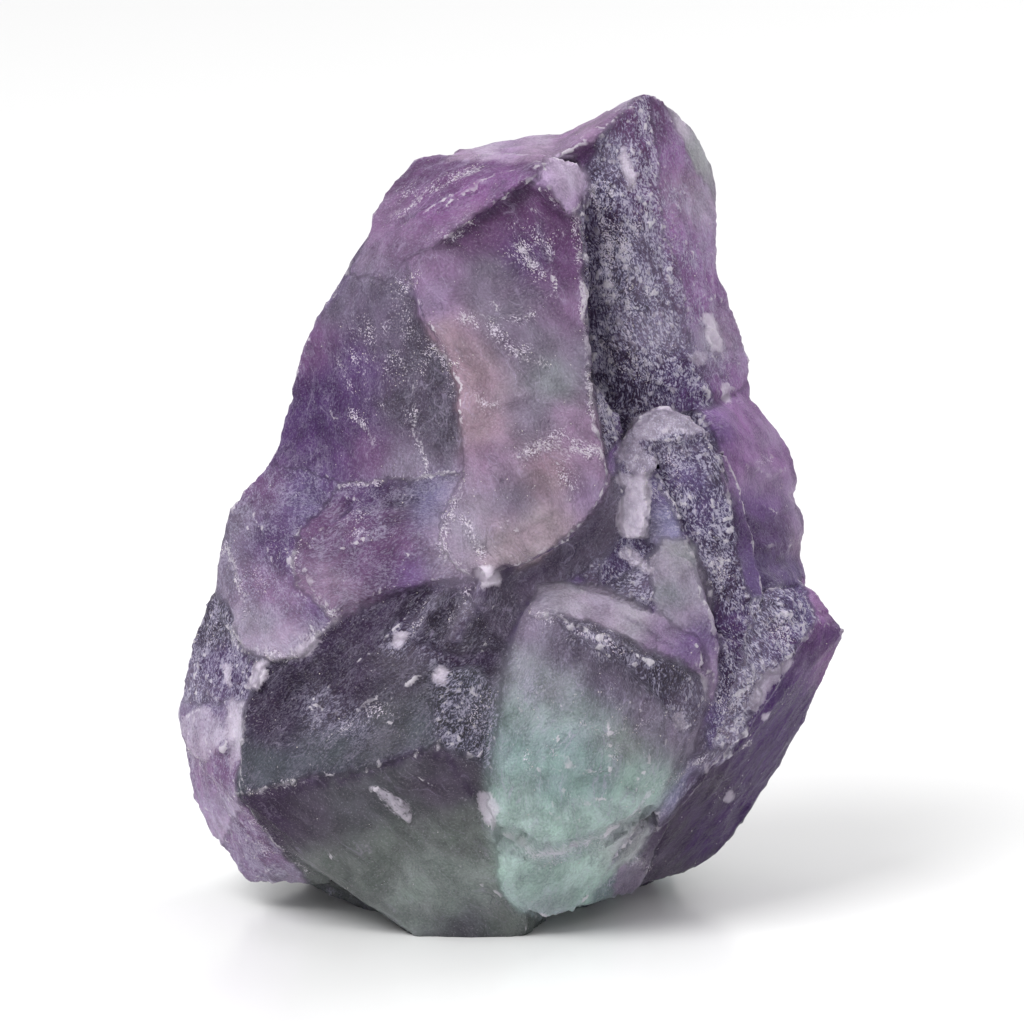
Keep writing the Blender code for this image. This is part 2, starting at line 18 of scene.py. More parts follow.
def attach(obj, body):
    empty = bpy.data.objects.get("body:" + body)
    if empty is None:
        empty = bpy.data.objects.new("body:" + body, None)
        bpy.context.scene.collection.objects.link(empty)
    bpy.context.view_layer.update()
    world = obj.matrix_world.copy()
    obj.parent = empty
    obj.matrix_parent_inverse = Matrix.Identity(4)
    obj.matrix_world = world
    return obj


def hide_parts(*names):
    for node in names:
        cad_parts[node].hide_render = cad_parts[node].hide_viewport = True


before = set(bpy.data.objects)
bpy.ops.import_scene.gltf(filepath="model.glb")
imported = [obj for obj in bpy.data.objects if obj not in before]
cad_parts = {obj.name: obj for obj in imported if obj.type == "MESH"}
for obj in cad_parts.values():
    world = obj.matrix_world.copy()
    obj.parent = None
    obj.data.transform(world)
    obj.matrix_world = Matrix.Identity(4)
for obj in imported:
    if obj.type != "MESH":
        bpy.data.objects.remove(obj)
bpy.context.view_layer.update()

MM = 0.001
NODE = "fluorite"

# %% [markdown]
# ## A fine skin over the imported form
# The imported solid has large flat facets. A voxel remesh gives it an even skin of small faces and rounds
# each edge by about one voxel, as a real broken edge is. The relief of the later steps needs such a skin,
# because it moves points and adds none. Subdividing the facets instead would leave long thin faces along
# every crease.

# %% The fine skin
SKIN_VOXEL = 0.2 * MM


def new_object(name, mesh):
    """Adds a mesh, a light or a camera to the scene as an object at the origin."""
    item = bpy.data.objects.new(name, mesh)
    bpy.context.scene.collection.objects.link(item)
    return item


def evaluated_mesh(item, name):
    """Returns an object's mesh with its modifiers applied, and removes the object."""
    bpy.context.view_layer.update()
    result = bpy.data.meshes.new_from_object(item.evaluated_get(bpy.context.evaluated_depsgraph_get()))
    bpy.data.objects.remove(item)
    result.name = name
    return result


def merged_copy(node, name):
    """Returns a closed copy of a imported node's loose triangles."""
    form = bmesh.new()
    form.from_mesh(node.data)
    bmesh.ops.remove_doubles(form, verts=form.verts, dist=1e-7)
    mesh = bpy.data.meshes.new(name)
    form.to_mesh(mesh)
    form.free()
    return mesh


def remeshed(mesh, voxel, name):
    """Returns a voxel remesh of a closed mesh."""
    item = new_object(name, mesh)
    skin = item.modifiers.new("skin", "REMESH")
    skin.mode = "VOXEL"
    skin.voxel_size = voxel
    return evaluated_mesh(item, name)


skin_mesh = remeshed(merged_copy(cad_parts[NODE], "form"), SKIN_VOXEL, "skin")
print("skin:", len(skin_mesh.vertices), "points,", len(skin_mesh.polygons), "faces")

# %% [markdown]
# ## Reading the skin as arrays
# Each later step is a rule for all points at once, so the points, their normals and the edges between them
# are read into arrays. The average over a point's neighbours is the one tool that smooths anything over the
# surface.

# %% Points, normals and neighbours
def read_points(mesh):
    """Returns a mesh's points in millimetres."""
    flat = np.empty(len(mesh.vertices) * 3)
    mesh.vertices.foreach_get("co", flat)
    return flat.reshape(-1, 3) / MM


def read_normals(mesh):
    """Returns the unit normal at each point."""
    flat = np.empty(len(mesh.vertices) * 3, dtype=np.float32)
    mesh.vertex_normals.foreach_get("vector", flat)
    return flat.reshape(-1, 3).astype(float)


def write_points(mesh, places):
    """Moves a mesh's points to the given places, in millimetres."""
    mesh.vertices.foreach_set("co", (places * MM).ravel())
    mesh.update()


def edge_ends(mesh):
    """Returns the two point numbers of each edge."""
    flat = np.empty(len(mesh.edges) * 2, dtype=np.int64)
    mesh.edges.foreach_get("vertices", flat)
    return flat.reshape(-1, 2)


ENDS = edge_ends(skin_mesh)
VALENCE = np.bincount(ENDS.ravel(), minlength=len(skin_mesh.vertices))


def neighbour_average(values):
    """Returns at each point the mean of a value over its neighbours."""
    columns = values.reshape(len(values), -1)
    result = np.empty_like(columns)
    for column in range(columns.shape[1]):
        total = np.bincount(ENDS[:, 0], weights=columns[ENDS[:, 1], column], minlength=len(values))
        total += np.bincount(ENDS[:, 1], weights=columns[ENDS[:, 0], column], minlength=len(values))
        result[:, column] = total / VALENCE
    return result.reshape(values.shape)


def smoothed(values, rounds):
    """Returns a value spread over the surface by a number of neighbour averages."""
    for _ in range(rounds):
        values = 0.5 * values + 0.5 * neighbour_average(values)
    return values


def unit(vectors):
    """Returns vectors at length one."""
    return vectors / np.maximum(np.linalg.norm(vectors, axis=1, keepdims=True), 1e-12)


def smoothstep(low, high, value):
    """Returns 0 below low, 1 above high and a smooth climb between."""
    share = np.clip((value - low) / (high - low), 0.0, 1.0)
    return share * share * (3.0 - 2.0 * share)


def crest_of(places, normals, rounds):
    """Returns how far each point stands over (or lies under) its neighbours, in millimetres."""
    offset = places - neighbour_average(places)
    return smoothed(np.einsum("ij,ij->i", offset, normals), rounds)


points = read_points(skin_mesh)
normals = unit(smoothed(read_normals(skin_mesh), 2))
crest = crest_of(points, normals, 2)
print("crests and grooves from", round(float(crest.min()), 3), "to", round(float(crest.max()), 3), "mm")

# %% [markdown]
# ## A sheet to draw on
# The colours, the sugary patches and the cracks follow the plates of the front. They are drawn on an
# elevation, a sheet that leans back by 12 degrees, in millimetres across it and up it from the foot's front
# edge. A cloudy noise keeps drawn borders ragged, since nothing on a broken stone is ruled with a straight
# edge.

# %% The elevation
SHEET_TILT = math.radians(12.0)
FOOT_FRONT = -9.9
TOWARD_VIEW = np.array([0.0, -math.cos(SHEET_TILT), math.sin(SHEET_TILT)])


def on_sheet(places):
    """Returns each point's place across and up the elevation, in millimetres."""
    up = places[:, 2] * math.cos(SHEET_TILT) + (places[:, 1] - FOOT_FRONT) * math.sin(SHEET_TILT)
    return np.column_stack((places[:, 0], up))


def cloud(places, size, octaves, seed):
    """Returns a cloudy value, about -1 to 1, whose lumps are of the given size in millimetres."""
    shift = Vector((13.7 * seed, 5.1 * seed, -9.3 * seed))
    step = 1.0 / size
    return np.array([noise.fractal(Vector(place) * step + shift, 0.9, 2.1, octaves) for place in places])


def inside(outline, drawn):
    """Returns which drawn places lie inside an outline."""
    across, up = drawn[:, 0], drawn[:, 1]
    within = np.zeros(len(drawn), dtype=bool)
    for (x1, y1), (x2, y2) in zip(outline, outline[1:] + outline[:1]):
        if y1 == y2:
            continue
        crosses = (y1 > up) != (y2 > up)
        within ^= crosses & (across < (x2 - x1) * (up - y1) / (y2 - y1) + x1)
    return within


def gap_to_line(line, drawn):
    """Returns each drawn place's distance from a line of straight runs, in millimetres."""
    gaps = np.full(len(drawn), np.inf)
    for start, end in zip(line, line[1:]):
        start, run = np.array(start), np.array(end) - np.array(start)
        share = np.clip((drawn - start) @ run / (run @ run), 0.0, 1.0)
        gaps = np.minimum(gaps, np.linalg.norm(drawn - start - share[:, None] * run, axis=1))
    return gaps


# %% [markdown]
# ## The regions
# Each plate or ridge of the front is a region. It has an outline, a few colours at chosen places, how
# sugary its surface is (0 to 1), how veiled it is with whitish streaks, and which way its grain runs, in
# degrees from upright toward the right. Where it has a level, its colours are all multiplied by it. The
# colours come from one short palette, as a painter's would.

# %% The palette
PALETTE = {
    "night": "#2A2034",
    "ink": "#382B43",
    "deep plum": "#46325A",
    "royal": "#3A2054",
    "plum": "#543F68",
    "wine": "#62466A",
    "aubergine": "#6C5176",
    "violet": "#63547D",
    "purple": "#71598A",
    "orchid": "#8D6A9B",
    "fuchsia": "#80588B",
    "heather": "#866E90",
    "mauve": "#957F9C",
    "lilac": "#9985A8",
    "pale lilac": "#B2A3BE",
    "pearl": "#BDB5C8",
    "rose": "#A08A9B",
    "blush": "#B0A0AF",
    "slate": "#645A70",
    "smoke": "#4E4757",
    "dusk": "#3F3D46",
    "graphite": "#56555F",
    "mist": "#7F758B",
    "haze": "#9C92A8",
    "moss": "#676B6D",
    "steel": "#4F525C",
    "fern": "#838A8C",
    "sage": "#898B96",
    "ash": "#A4A4AD",
    "sea mist": "#959FA6",
    "sea": "#889C9F",
    "pale sea": "#9DB1B0",
    "foam": "#B4C8C8",
    "ice": "#8D8BB0",
    "periwinkle": "#76729A",
}

# %% The regions of the peak: the crown, the roof behind it and the dark column
PEAK_REGIONS = {
    "crown": {
        "outline": [(-7.1, 47.2), (-5.9, 48.6), (-4.7, 48.6), (-4.0, 47.9), (0.5, 47.7), (2.2, 48.4),
                    (2.8, 48.2), (0.9, 46.6), (-4.1, 43.0), (-6.1, 41.9), (-7.9, 40.4), (-10.5, 40.6),
                    (-9.6, 42.6), (-8.7, 45.0)],
        "colours": [("aubergine", -6.2, 47.2), ("aubergine", -4.6, 46.8), ("heather", -7.6, 45.0),
                    ("fuchsia", -4.4, 45.0), ("fuchsia", -2.4, 45.6), ("orchid", -0.4, 46.4),
                    ("aubergine", 1.0, 47.4), ("aubergine", -1.6, 47.3), ("heather", -8.2, 43.4),
                    ("mist", -9.2, 41.8), ("heather", -7.0, 42.4), ("mauve", -2.2, 44.4),
                    ("heather", -4.4, 43.2)],
        "sugar": 0.12, "veil": 0.6, "grain": 62, "level": 0.84,
    },
    "roof": {
        "outline": [(-4.0, 47.9), (-3.9, 49.4), (0.1, 50.2), (1.1, 50.4), (3.0, 50.7), (8.2, 53.2),
                    (7.9, 51.8), (5.5, 49.5), (2.8, 47.9), (0.5, 47.7)],
        "colours": [("mauve", -2.8, 48.0), ("pale lilac", -1.8, 48.8), ("lilac", 0.0, 49.0),
                    ("pale lilac", 1.4, 49.8), ("mauve", 1.2, 48.4), ("heather", 3.4, 49.4),
                    ("mauve", 4.6, 50.4), ("heather", 5.8, 50.6), ("haze", 7.4, 52.0)],
        "sugar": 0.0, "veil": 0.9, "grain": 62,
    },
    "roof shadow": {
        "outline": [(2.8, 48.1), (5.5, 49.4), (5.2, 47.4), (4.3, 47.2)],
        "colours": [("wine", 4.4, 48.4), ("plum", 4.8, 47.6)],
        "sugar": 0.0, "veil": 0.3, "grain": 60,
    },
    "column": {
        "outline": [(5.2, 48.9), (8.0, 52.4), (8.3, 53.2), (9.4, 53.0), (12.0, 50.6), (13.5, 48.1),
                    (13.5, 46.5), (13.2, 41.3), (14.4, 38.8), (15.6, 35.9), (14.8, 33.6), (11.8, 32.3),
                    (8.9, 32.7), (6.8, 30.8), (5.5, 29.4), (4.9, 33.3), (4.4, 39.5), (4.1, 44.8),
                    (4.5, 47.0)],
        # the ink down its left side is painted shade, from the step of the centre plate in front of it
        "colours": [("ink", 4.6, 46.0), ("slate", 6.2, 48.2), ("ink", 5.2, 42.0), ("ink", 6.4, 44.6),
                    ("smoke", 6.4, 41.0), ("slate", 7.8, 43.0), ("slate", 7.4, 39.4), ("ink", 4.9, 38.0),
                    ("wine", 7.4, 50.8), ("wine", 9.0, 49.0), ("wine", 8.2, 45.4), ("mist", 9.0, 37.6),
                    ("ink", 6.6, 34.6), ("ink", 8.6, 33.8), ("plum", 10.4, 34.4), ("aubergine", 10.6, 41.0),
                    ("slate", 8.4, 40.6)],
        "sugar": 0.65, "veil": 0.4, "grain": -12,
    },
    "column slope": {
        "outline": [(8.6, 53.2), (9.4, 53.0), (12.0, 50.6), (13.5, 48.1), (13.5, 46.5), (13.2, 41.3),
                    (14.4, 38.8), (15.6, 35.9), (14.8, 33.6), (12.6, 32.8), (11.2, 35.4), (10.6, 37.8),
                    (10.4, 40.4), (9.2, 43.4), (9.0, 46.6), (8.8, 50.0)],
        "colours": [("wine", 8.8, 50.6), ("orchid", 9.6, 48.2), ("mauve", 10.4, 46.4),
                    ("pale lilac", 11.8, 45.2), ("orchid", 10.2, 43.4), ("lilac", 12.8, 42.6),
                    ("orchid", 12.2, 40.4), ("orchid", 11.0, 38.8), ("pearl", 12.2, 36.8),
                    ("heather", 13.4, 37.6), ("lilac", 14.6, 36.0), ("plum", 11.6, 34.8),
                    ("orchid", 13.2, 34.6), ("violet", 10.6, 36.6)],
        "sugar": 0.3, "veil": 0.5, "grain": -4,
    },
    "column edge": {
        "outline": [(9.4, 53.4), (9.6, 51.4), (10.4, 49.8), (11.0, 48.0), (12.2, 46.6), (13.2, 44.6),
                    (13.9, 44.0), (13.9, 48.5), (12.4, 51.0)],
        "colours": [("mist", 9.8, 52.0), ("pearl", 10.6, 50.2), ("ash", 11.8, 49.0), ("ash", 12.6, 47.8),
                    ("haze", 13.2, 46.2)],
        "sugar": 0.05, "veil": 0.2, "grain": 0,
    },
    "corner": {
        "outline": [(1.4, 47.1), (2.6, 48.4), (3.8, 48.3), (4.8, 47.1), (4.5, 45.0), (3.4, 44.4),
                    (2.6, 45.9)],
        "colours": [("lilac", 2.2, 46.9), ("pale lilac", 2.9, 47.4), ("pale lilac", 3.8, 46.6),
                    ("lilac", 4.2, 45.4)],
        "sugar": 0.0, "veil": 0.4, "grain": 10, "level": 1.15,
    },
}
print(len(PEAK_REGIONS), "regions at the peak")

# %% The regions of the plates
PLATE_REGIONS = {
    "left plate": {
        "outline": [(-10.5, 41.2), (-11.6, 40.1), (-12.8, 38.8), (-14.0, 36.3), (-14.6, 33.6),
                    (-15.2, 31.2), (-16.0, 29.5), (-10.4, 28.0), (-3.6, 28.5), (-2.9, 28.8), (-2.9, 29.8),
                    (-3.3, 32.7), (-3.3, 34.0), (-4.1, 35.8), (-5.4, 37.6), (-6.6, 41.6), (-7.9, 40.4)],
        "colours": [("slate", -8.2, 39.6), ("slate", -7.8, 37.2), ("smoke", -5.9, 37.6),
                    ("smoke", -5.2, 35.4), ("smoke", -4.2, 32.0), ("smoke", -7.0, 32.6),
                    ("slate", -11.0, 39.0), ("aubergine", -12.4, 36.6), ("plum", -9.6, 35.4),
                    ("deep plum", -11.6, 33.4), ("deep plum", -12.2, 31.6), ("plum", -9.6, 32.2),
                    ("plum", -11.2, 29.8), ("mist", -6.6, 29.0), ("plum", -14.4, 30.2),
                    ("aubergine", -8.8, 29.8)],
        "sugar": 0.1, "veil": 0.55, "grain": -16, "level": 0.93,
    },
    "left low": {
        "outline": [(-10.4, 28.0), (-3.6, 28.5), (-2.9, 28.8), (-3.4, 25.8), (-2.9, 23.5), (-1.7, 22.2),
                    (-4.5, 22.0), (-7.0, 21.2), (-11.0, 19.6), (-13.2, 21.8), (-13.4, 23.4), (-13.0, 25.2)],
        "colours": [("plum", -8.6, 27.4), ("smoke", -6.8, 26.8), ("wine", -7.4, 25.8),
                    ("periwinkle", -5.0, 26.6), ("pale lilac", -3.8, 25.4), ("blush", -3.2, 23.6),
                    ("aubergine", -9.4, 23.4), ("aubergine", -11.6, 25.6), ("wine", -8.0, 23.8),
                    ("aubergine", -6.4, 24.0), ("purple", -6.0, 22.6), ("haze", -4.2, 23.0),
                    ("mauve", -10.8, 21.4), ("orchid", -2.8, 23.8)],
        "sugar": 0.2, "veil": 0.6, "grain": 80, "level": 0.8,
    },
    "apron": {
        "outline": [(-16.0, 29.6), (-10.4, 28.0), (-13.0, 25.2), (-13.4, 23.4), (-13.2, 21.8),
                    (-11.0, 19.6), (-13.2, 17.0), (-14.8, 17.0), (-16.8, 18.0), (-18.2, 19.2),
                    (-19.0, 21.2), (-18.9, 24.2), (-18.2, 26.3), (-17.4, 28.0)],
        "colours": [("aubergine", -15.4, 27.6), ("violet", -12.8, 27.0), ("plum", -15.2, 24.8),
                    ("mist", -16.6, 25.6), ("plum", -14.0, 23.8), ("mist", -17.8, 22.4),
                    ("heather", -15.4, 21.8), ("heather", -13.4, 20.6), ("haze", -16.2, 19.4),
                    ("pale lilac", -14.2, 18.2), ("haze", -12.6, 18.2), ("purple", -11.8, 20.6)],
        "sugar": 0.25, "veil": 0.6, "grain": -40, "level": 0.85,
    },
    "centre plate": {
        "outline": [(-6.6, 41.7), (-4.1, 43.0), (0.9, 46.6), (2.6, 45.9), (3.4, 44.4), (4.1, 44.8),
                    (4.7, 37.6), (5.1, 33.3), (5.6, 29.8), (6.0, 28.4), (5.4, 26.6), (3.6, 24.4),
                    (1.8, 23.2), (-0.4, 22.3), (-1.7, 22.0), (-2.9, 22.5), (-4.1, 23.9), (-4.4, 25.8),
                    (-2.9, 28.6), (-2.9, 29.8), (-3.3, 32.7), (-3.3, 34.0), (-4.1, 35.8), (-5.4, 37.6)],
        "colours": [("wine", -2.0, 43.4), ("wine", 0.0, 44.4), ("plum", 0.8, 42.2), ("wine", 2.2, 43.4),
                    ("aubergine", 3.2, 41.2), ("heather", 3.9, 38.6), ("heather", -4.8, 41.2),
                    ("mist", -1.4, 40.6), ("lilac", -5.0, 39.2), ("rose", -4.0, 36.8), ("rose", -2.6, 34.6),
                    ("mist", -0.4, 38.2), ("mist", 0.8, 36.8), ("rose", -1.8, 31.4), ("sage", 2.6, 34.4),
                    ("mist", 4.2, 35.6), ("mist", 1.2, 32.0), ("mauve", 3.8, 31.8), ("mauve", -1.2, 29.4),
                    ("mist", 0.0, 27.0), ("rose", 2.4, 28.6), ("blush", 2.2, 25.6), ("blush", 0.2, 24.0),
                    ("lilac", 4.6, 27.4), ("mauve", 5.2, 29.6), ("haze", -3.4, 25.0)],
        "sugar": 0.05, "veil": 0.6, "grain": -35, "level": 0.87,
    },
}
print(len(PLATE_REGIONS), "regions on the plates")

# %% The regions of the dark lower left and the flank
LEFT_REGIONS = {
    "lower top": {
        "outline": [(-15.6, 16.2), (-14.8, 17.2), (-13.2, 17.2), (-10.4, 19.8), (-7.0, 21.2), (-4.5, 22.0),
                    (-2.6, 21.4), (-0.4, 18.4), (-0.8, 14.5), (-1.4, 9.8), (-2.0, 10.9), (-4.5, 11.9),
                    (-8.9, 10.5), (-13.2, 9.7), (-17.0, 8.8), (-16.6, 12.0), (-16.3, 14.5)],
        "colours": [("night", -14.2, 16.0), ("night", -11.0, 16.6), ("ink", -14.8, 13.2),
                    ("steel", -15.2, 10.6), ("smoke", -11.6, 14.2), ("steel", -11.4, 11.6),
                    ("graphite", -7.4, 13.2), ("ink", -9.4, 18.6), ("smoke", -6.8, 17.0),
                    ("ink", -5.2, 19.4), ("night", -2.8, 20.0), ("ink", -3.2, 17.2), ("steel", -5.4, 13.0),
                    ("dusk", -4.4, 15.4), ("night", -13.0, 14.6), ("ink", -9.6, 15.4)],
        "sugar": 0.08, "veil": 0.4, "grain": 45, "level": 0.87,
    },
    "lower streaks": {
        "outline": [(-6.4, 21.2), (-4.5, 22.0), (-2.6, 21.6), (1.0, 22.8), (0.2, 20.8), (-0.8, 18.0),
                    (-3.2, 17.4), (-5.6, 18.2), (-7.8, 18.6)],
        "colours": [("night", -4.4, 20.4), ("ink", -6.6, 19.6), ("night", -1.2, 20.6),
                    ("smoke", -2.6, 19.4)],
        "sugar": 0.1, "veil": 0.6, "grain": 35, "level": 0.62,
    },
    "speckled hollow": {
        "outline": [(-4.8, 16.4), (-2.4, 16.8), (-0.8, 15.2), (-1.0, 12.0), (-1.8, 9.4), (-3.4, 10.6),
                    (-4.6, 12.6)],
        "colours": [("dusk", -3.6, 15.0), ("dusk", -2.2, 12.4), ("graphite", -1.8, 15.0)],
        "sugar": 0.45, "veil": 0.2, "grain": 40, "level": 0.85,
    },
    "lower front": {
        "outline": [(-17.0, 8.8), (-13.2, 9.7), (-8.9, 10.5), (-4.5, 11.9), (-2.0, 10.9), (-1.4, 9.8),
                    (-0.8, 6.4), (0.3, 2.0), (2.2, 1.0), (1.2, -1.0), (-6.0, -1.0), (-7.4, 0.8),
                    (-9.6, 2.2), (-12.8, 3.3), (-15.1, 6.2)],
        "colours": [("ink", -14.6, 7.6), ("smoke", -12.6, 7.4), ("graphite", -9.6, 8.4),
                    ("smoke", -4.0, 9.6), ("moss", -7.6, 5.2), ("fern", -5.6, 3.6), ("fern", -4.2, 2.6),
                    ("moss", -11.2, 4.2), ("moss", -3.2, 6.4), ("fern", -1.4, 3.6), ("moss", 0.0, 0.8),
                    ("graphite", -3.0, 0.8)],
        "sugar": 0.0, "veil": 0.35, "grain": -45,
    },
    "left flank": {
        "outline": [(-19.2, 21.6), (-17.8, 19.4), (-16.8, 18.0), (-15.6, 16.2), (-16.3, 14.5), (-17.0, 8.8),
                    (-15.1, 6.2), (-17.0, 3.6), (-18.6, 4.4), (-20.2, 6.2), (-21.6, 9.8), (-22.0, 13.8),
                    (-21.4, 17.0)],
        "colours": [("smoke", -18.6, 18.8), ("plum", -18.8, 16.6), ("mist", -20.4, 15.6),
                    ("slate", -17.2, 15.8), ("pearl", -16.9, 13.0), ("heather", -19.4, 10.2),
                    ("aubergine", -18.0, 10.4), ("pale lilac", -17.6, 6.8), ("lilac", -18.8, 7.4),
                    ("plum", -18.2, 13.6)],
        "sugar": 0.35, "veil": 0.6, "grain": -12,
    },
    "flank top": {
        "outline": [(-19.6, 21.8), (-17.4, 20.6), (-17.0, 18.0), (-15.8, 16.8), (-16.3, 14.6),
                    (-18.6, 14.4), (-21.0, 14.4), (-21.4, 17.0)],
        "colours": [("smoke", -18.6, 18.8), ("plum", -18.2, 16.6), ("mist", -20.2, 15.6)],
        "sugar": 0.5, "veil": 0.3, "grain": -8, "level": 0.72,
    },
    "pale rod": {
        "outline": [(-2.6, 21.8), (-1.8, 21.6), (-3.1, 18.2), (-3.9, 18.5)],
        "colours": [("haze", -2.2, 21.4), ("mist", -3.4, 18.6)],
        "sugar": 0.3, "veil": 0.5, "grain": 30, "level": 0.48,
    },
    "pale rod behind": {
        "outline": [(-4.4, 21.9), (-3.6, 21.9), (-6.0, 18.4), (-6.9, 18.8)],
        "colours": [("mist", -4.0, 21.6), ("slate", -6.2, 18.8)],
        "sugar": 0.25, "veil": 0.5, "grain": 36, "level": 0.55,
    },
    "left foot": {
        "outline": [(-15.1, 6.2), (-12.6, 3.4), (-13.2, 2.8), (-16.6, 2.6), (-18.4, 4.4), (-17.4, 7.0),
                    (-16.4, 8.4)],
        "colours": [("heather", -14.8, 5.0), ("lilac", -16.8, 4.4), ("heather", -16.0, 7.0),
                    ("haze", -14.6, 3.4)],
        "sugar": 0.45, "veil": 0.4, "grain": -30, "level": 0.85,
    },
}
print(len(LEFT_REGIONS), "regions at the lower left")

# %% The regions of the valley, the ridges and the wing
RIGHT_REGIONS = {
    "valley": {
        "outline": [(-1.7, 22.1), (1.8, 23.3), (5.4, 26.7), (6.0, 28.4), (6.5, 29.0), (6.9, 27.0),
                    (6.6, 24.5), (5.5, 23.2), (3.0, 22.0), (1.1, 20.9), (-0.4, 18.2), (-2.6, 20.8),
                    (-4.5, 21.8)],
        "colours": [("slate", 3.2, 23.4), ("slate", 5.2, 25.6), ("smoke", -0.6, 20.8), ("slate", 1.6, 22.2),
                    ("mist", 6.2, 26.6), ("slate", -2.4, 21.0)],
        "sugar": 0.1, "veil": 0.7, "grain": 38, "level": 0.87,
    },
    "valley curls": {
        "outline": [(4.0, 22.4), (5.6, 23.8), (7.2, 24.8), (8.6, 25.0), (9.2, 23.6), (9.0, 21.0),
                    (8.2, 20.4), (5.5, 21.6)],
        "colours": [("slate", 5.2, 22.8), ("smoke", 6.8, 22.8), ("slate", 8.4, 22.6), ("mist", 6.6, 24.2)],
        "sugar": 0.7, "veil": 0.8, "grain": 75,
    },
    "shoulder": {
        "outline": [(11.8, 32.4), (14.6, 34.2), (16.4, 32.6), (18.8, 28.4), (19.2, 25.3), (19.0, 23.5),
                    (19.2, 22.1), (18.2, 21.4), (16.1, 21.4), (14.6, 20.8), (13.9, 24.5), (13.1, 28.4),
                    (12.5, 30.8)],
        "colours": [("purple", 12.8, 31.2), ("orchid", 14.4, 31.8), ("lilac", 16.0, 31.0),
                    ("orchid", 14.0, 29.8), ("lilac", 15.4, 28.6), ("lilac", 17.4, 27.6),
                    ("orchid", 16.6, 29.4), ("purple", 15.4, 26.4), ("plum", 16.0, 24.6),
                    ("plum", 14.6, 25.4), ("lilac", 18.2, 25.6), ("mauve", 18.2, 24.2),
                    ("violet", 17.2, 22.8), ("violet", 15.0, 22.6)],
        "sugar": 0.1, "veil": 0.45, "grain": -40,
    },
    "ridges": {
        "outline": [(8.9, 32.5), (11.8, 32.4), (12.5, 30.8), (13.1, 28.4), (13.9, 24.5), (14.6, 20.8),
                    (14.2, 15.6), (12.8, 10.9), (11.6, 10.2), (12.6, 18.2), (11.8, 21.4), (11.1, 23.4),
                    (9.0, 24.2), (8.0, 23.2), (5.5, 21.4), (5.5, 23.2), (6.6, 24.5), (6.9, 27.0),
                    (6.4, 29.2), (6.8, 30.8)],
        # the ink in the gullies between the ridges is painted shade
        "colours": [("slate", 9.6, 29.8), ("violet", 11.0, 28.4), ("ink", 10.4, 26.4),
                    ("violet", 9.0, 27.0), ("violet", 11.8, 26.2), ("ink", 13.2, 25.4),
                    ("smoke", 12.6, 28.8), ("ink", 13.0, 22.0), ("plum", 13.4, 19.0), ("ink", 12.8, 16.0),
                    ("violet", 13.0, 13.6), ("slate", 12.2, 22.6)],
        "sugar": 0.7, "veil": 0.4, "grain": -25, "level": 0.92,
    },
    "ledge": {
        "outline": [(8.1, 28.4), (8.6, 28.6), (9.9, 26.4), (10.6, 24.8), (9.0, 24.0), (8.0, 24.6),
                    (8.4, 26.4)],
        "colours": [("violet", 9.2, 27.2), ("ice", 9.4, 25.4), ("mist", 8.6, 25.0)],
        "sugar": 0.4, "veil": 0.6, "grain": 88,
    },
    "green ridge": {
        "outline": [(8.4, 23.4), (9.4, 24.6), (11.1, 24.6), (12.1, 22.0), (12.7, 18.2), (12.3, 14.6),
                    (11.1, 17.6), (8.9, 20.0), (8.7, 21.4)],
        "colours": [("ash", 10.6, 23.6), ("sage", 9.6, 21.4), ("haze", 9.4, 22.8), ("haze", 10.2, 19.6),
                    ("haze", 11.8, 21.0), ("haze", 11.2, 22.6), ("purple", 11.4, 18.6),
                    ("lilac", 11.8, 16.4)],
        "sugar": 0.15, "veil": 0.5, "grain": -8, "level": 0.88,
    },
    "boss": {
        "outline": [(14.6, 20.8), (16.1, 21.6), (18.4, 21.6), (18.8, 19.6), (17.2, 17.3), (15.4, 15.9),
                    (15.1, 14.5), (14.3, 12.6), (13.1, 11.3), (11.6, 10.4), (13.0, 13.4), (14.0, 17.0)],
        "colours": [("slate", 16.0, 19.6), ("violet", 17.8, 20.4), ("slate", 14.6, 18.6),
                    ("mist", 14.8, 15.8), ("slate", 14.2, 14.0), ("plum", 17.0, 18.2),
                    ("mist", 13.6, 12.2)],
        "sugar": 1.0, "veil": 0.3, "grain": -30,
    },
    "wing": {
        "outline": [(17.8, 22.2), (19.2, 21.6), (21.6, 19.0), (21.2, 16.8), (18.8, 12.0), (16.2, 8.0),
                    (13.6, 4.0), (11.8, 2.8), (8.0, 1.8), (7.8, 5.2), (9.6, 7.7), (11.6, 10.4),
                    (13.1, 11.3), (14.3, 12.6), (15.1, 14.5), (15.4, 15.9), (17.2, 17.3), (18.8, 19.6)],
        "colours": [("orchid", 19.0, 20.4), ("plum", 20.0, 18.2), ("fuchsia", 20.2, 17.0),
                    ("plum", 18.2, 16.8), ("royal", 16.8, 14.8), ("royal", 18.2, 12.8),
                    ("royal", 15.4, 12.4), ("ink", 12.8, 9.6), ("royal", 14.6, 9.4), ("royal", 14.6, 7.6),
                    ("royal", 12.0, 5.6), ("ink", 10.0, 6.4), ("slate", 8.8, 3.8)],
        "sugar": 0.03, "veil": 0.25, "grain": 38,
    },
    "blue strip": {
        "outline": [(9.6, 10.6), (11.4, 11.4), (13.4, 12.0), (12.8, 10.8), (10.8, 10.0), (9.4, 7.6),
                    (7.4, 5.0), (6.6, 4.6), (7.4, 6.6), (8.8, 8.6)],
        "colours": [("slate", 11.6, 11.2), ("ice", 9.8, 9.2), ("mist", 7.8, 6.2), ("slate", 9.4, 7.8)],
        "sugar": 0.3, "veil": 0.5, "grain": 38,
    },
}
print(len(RIGHT_REGIONS), "regions at the right")

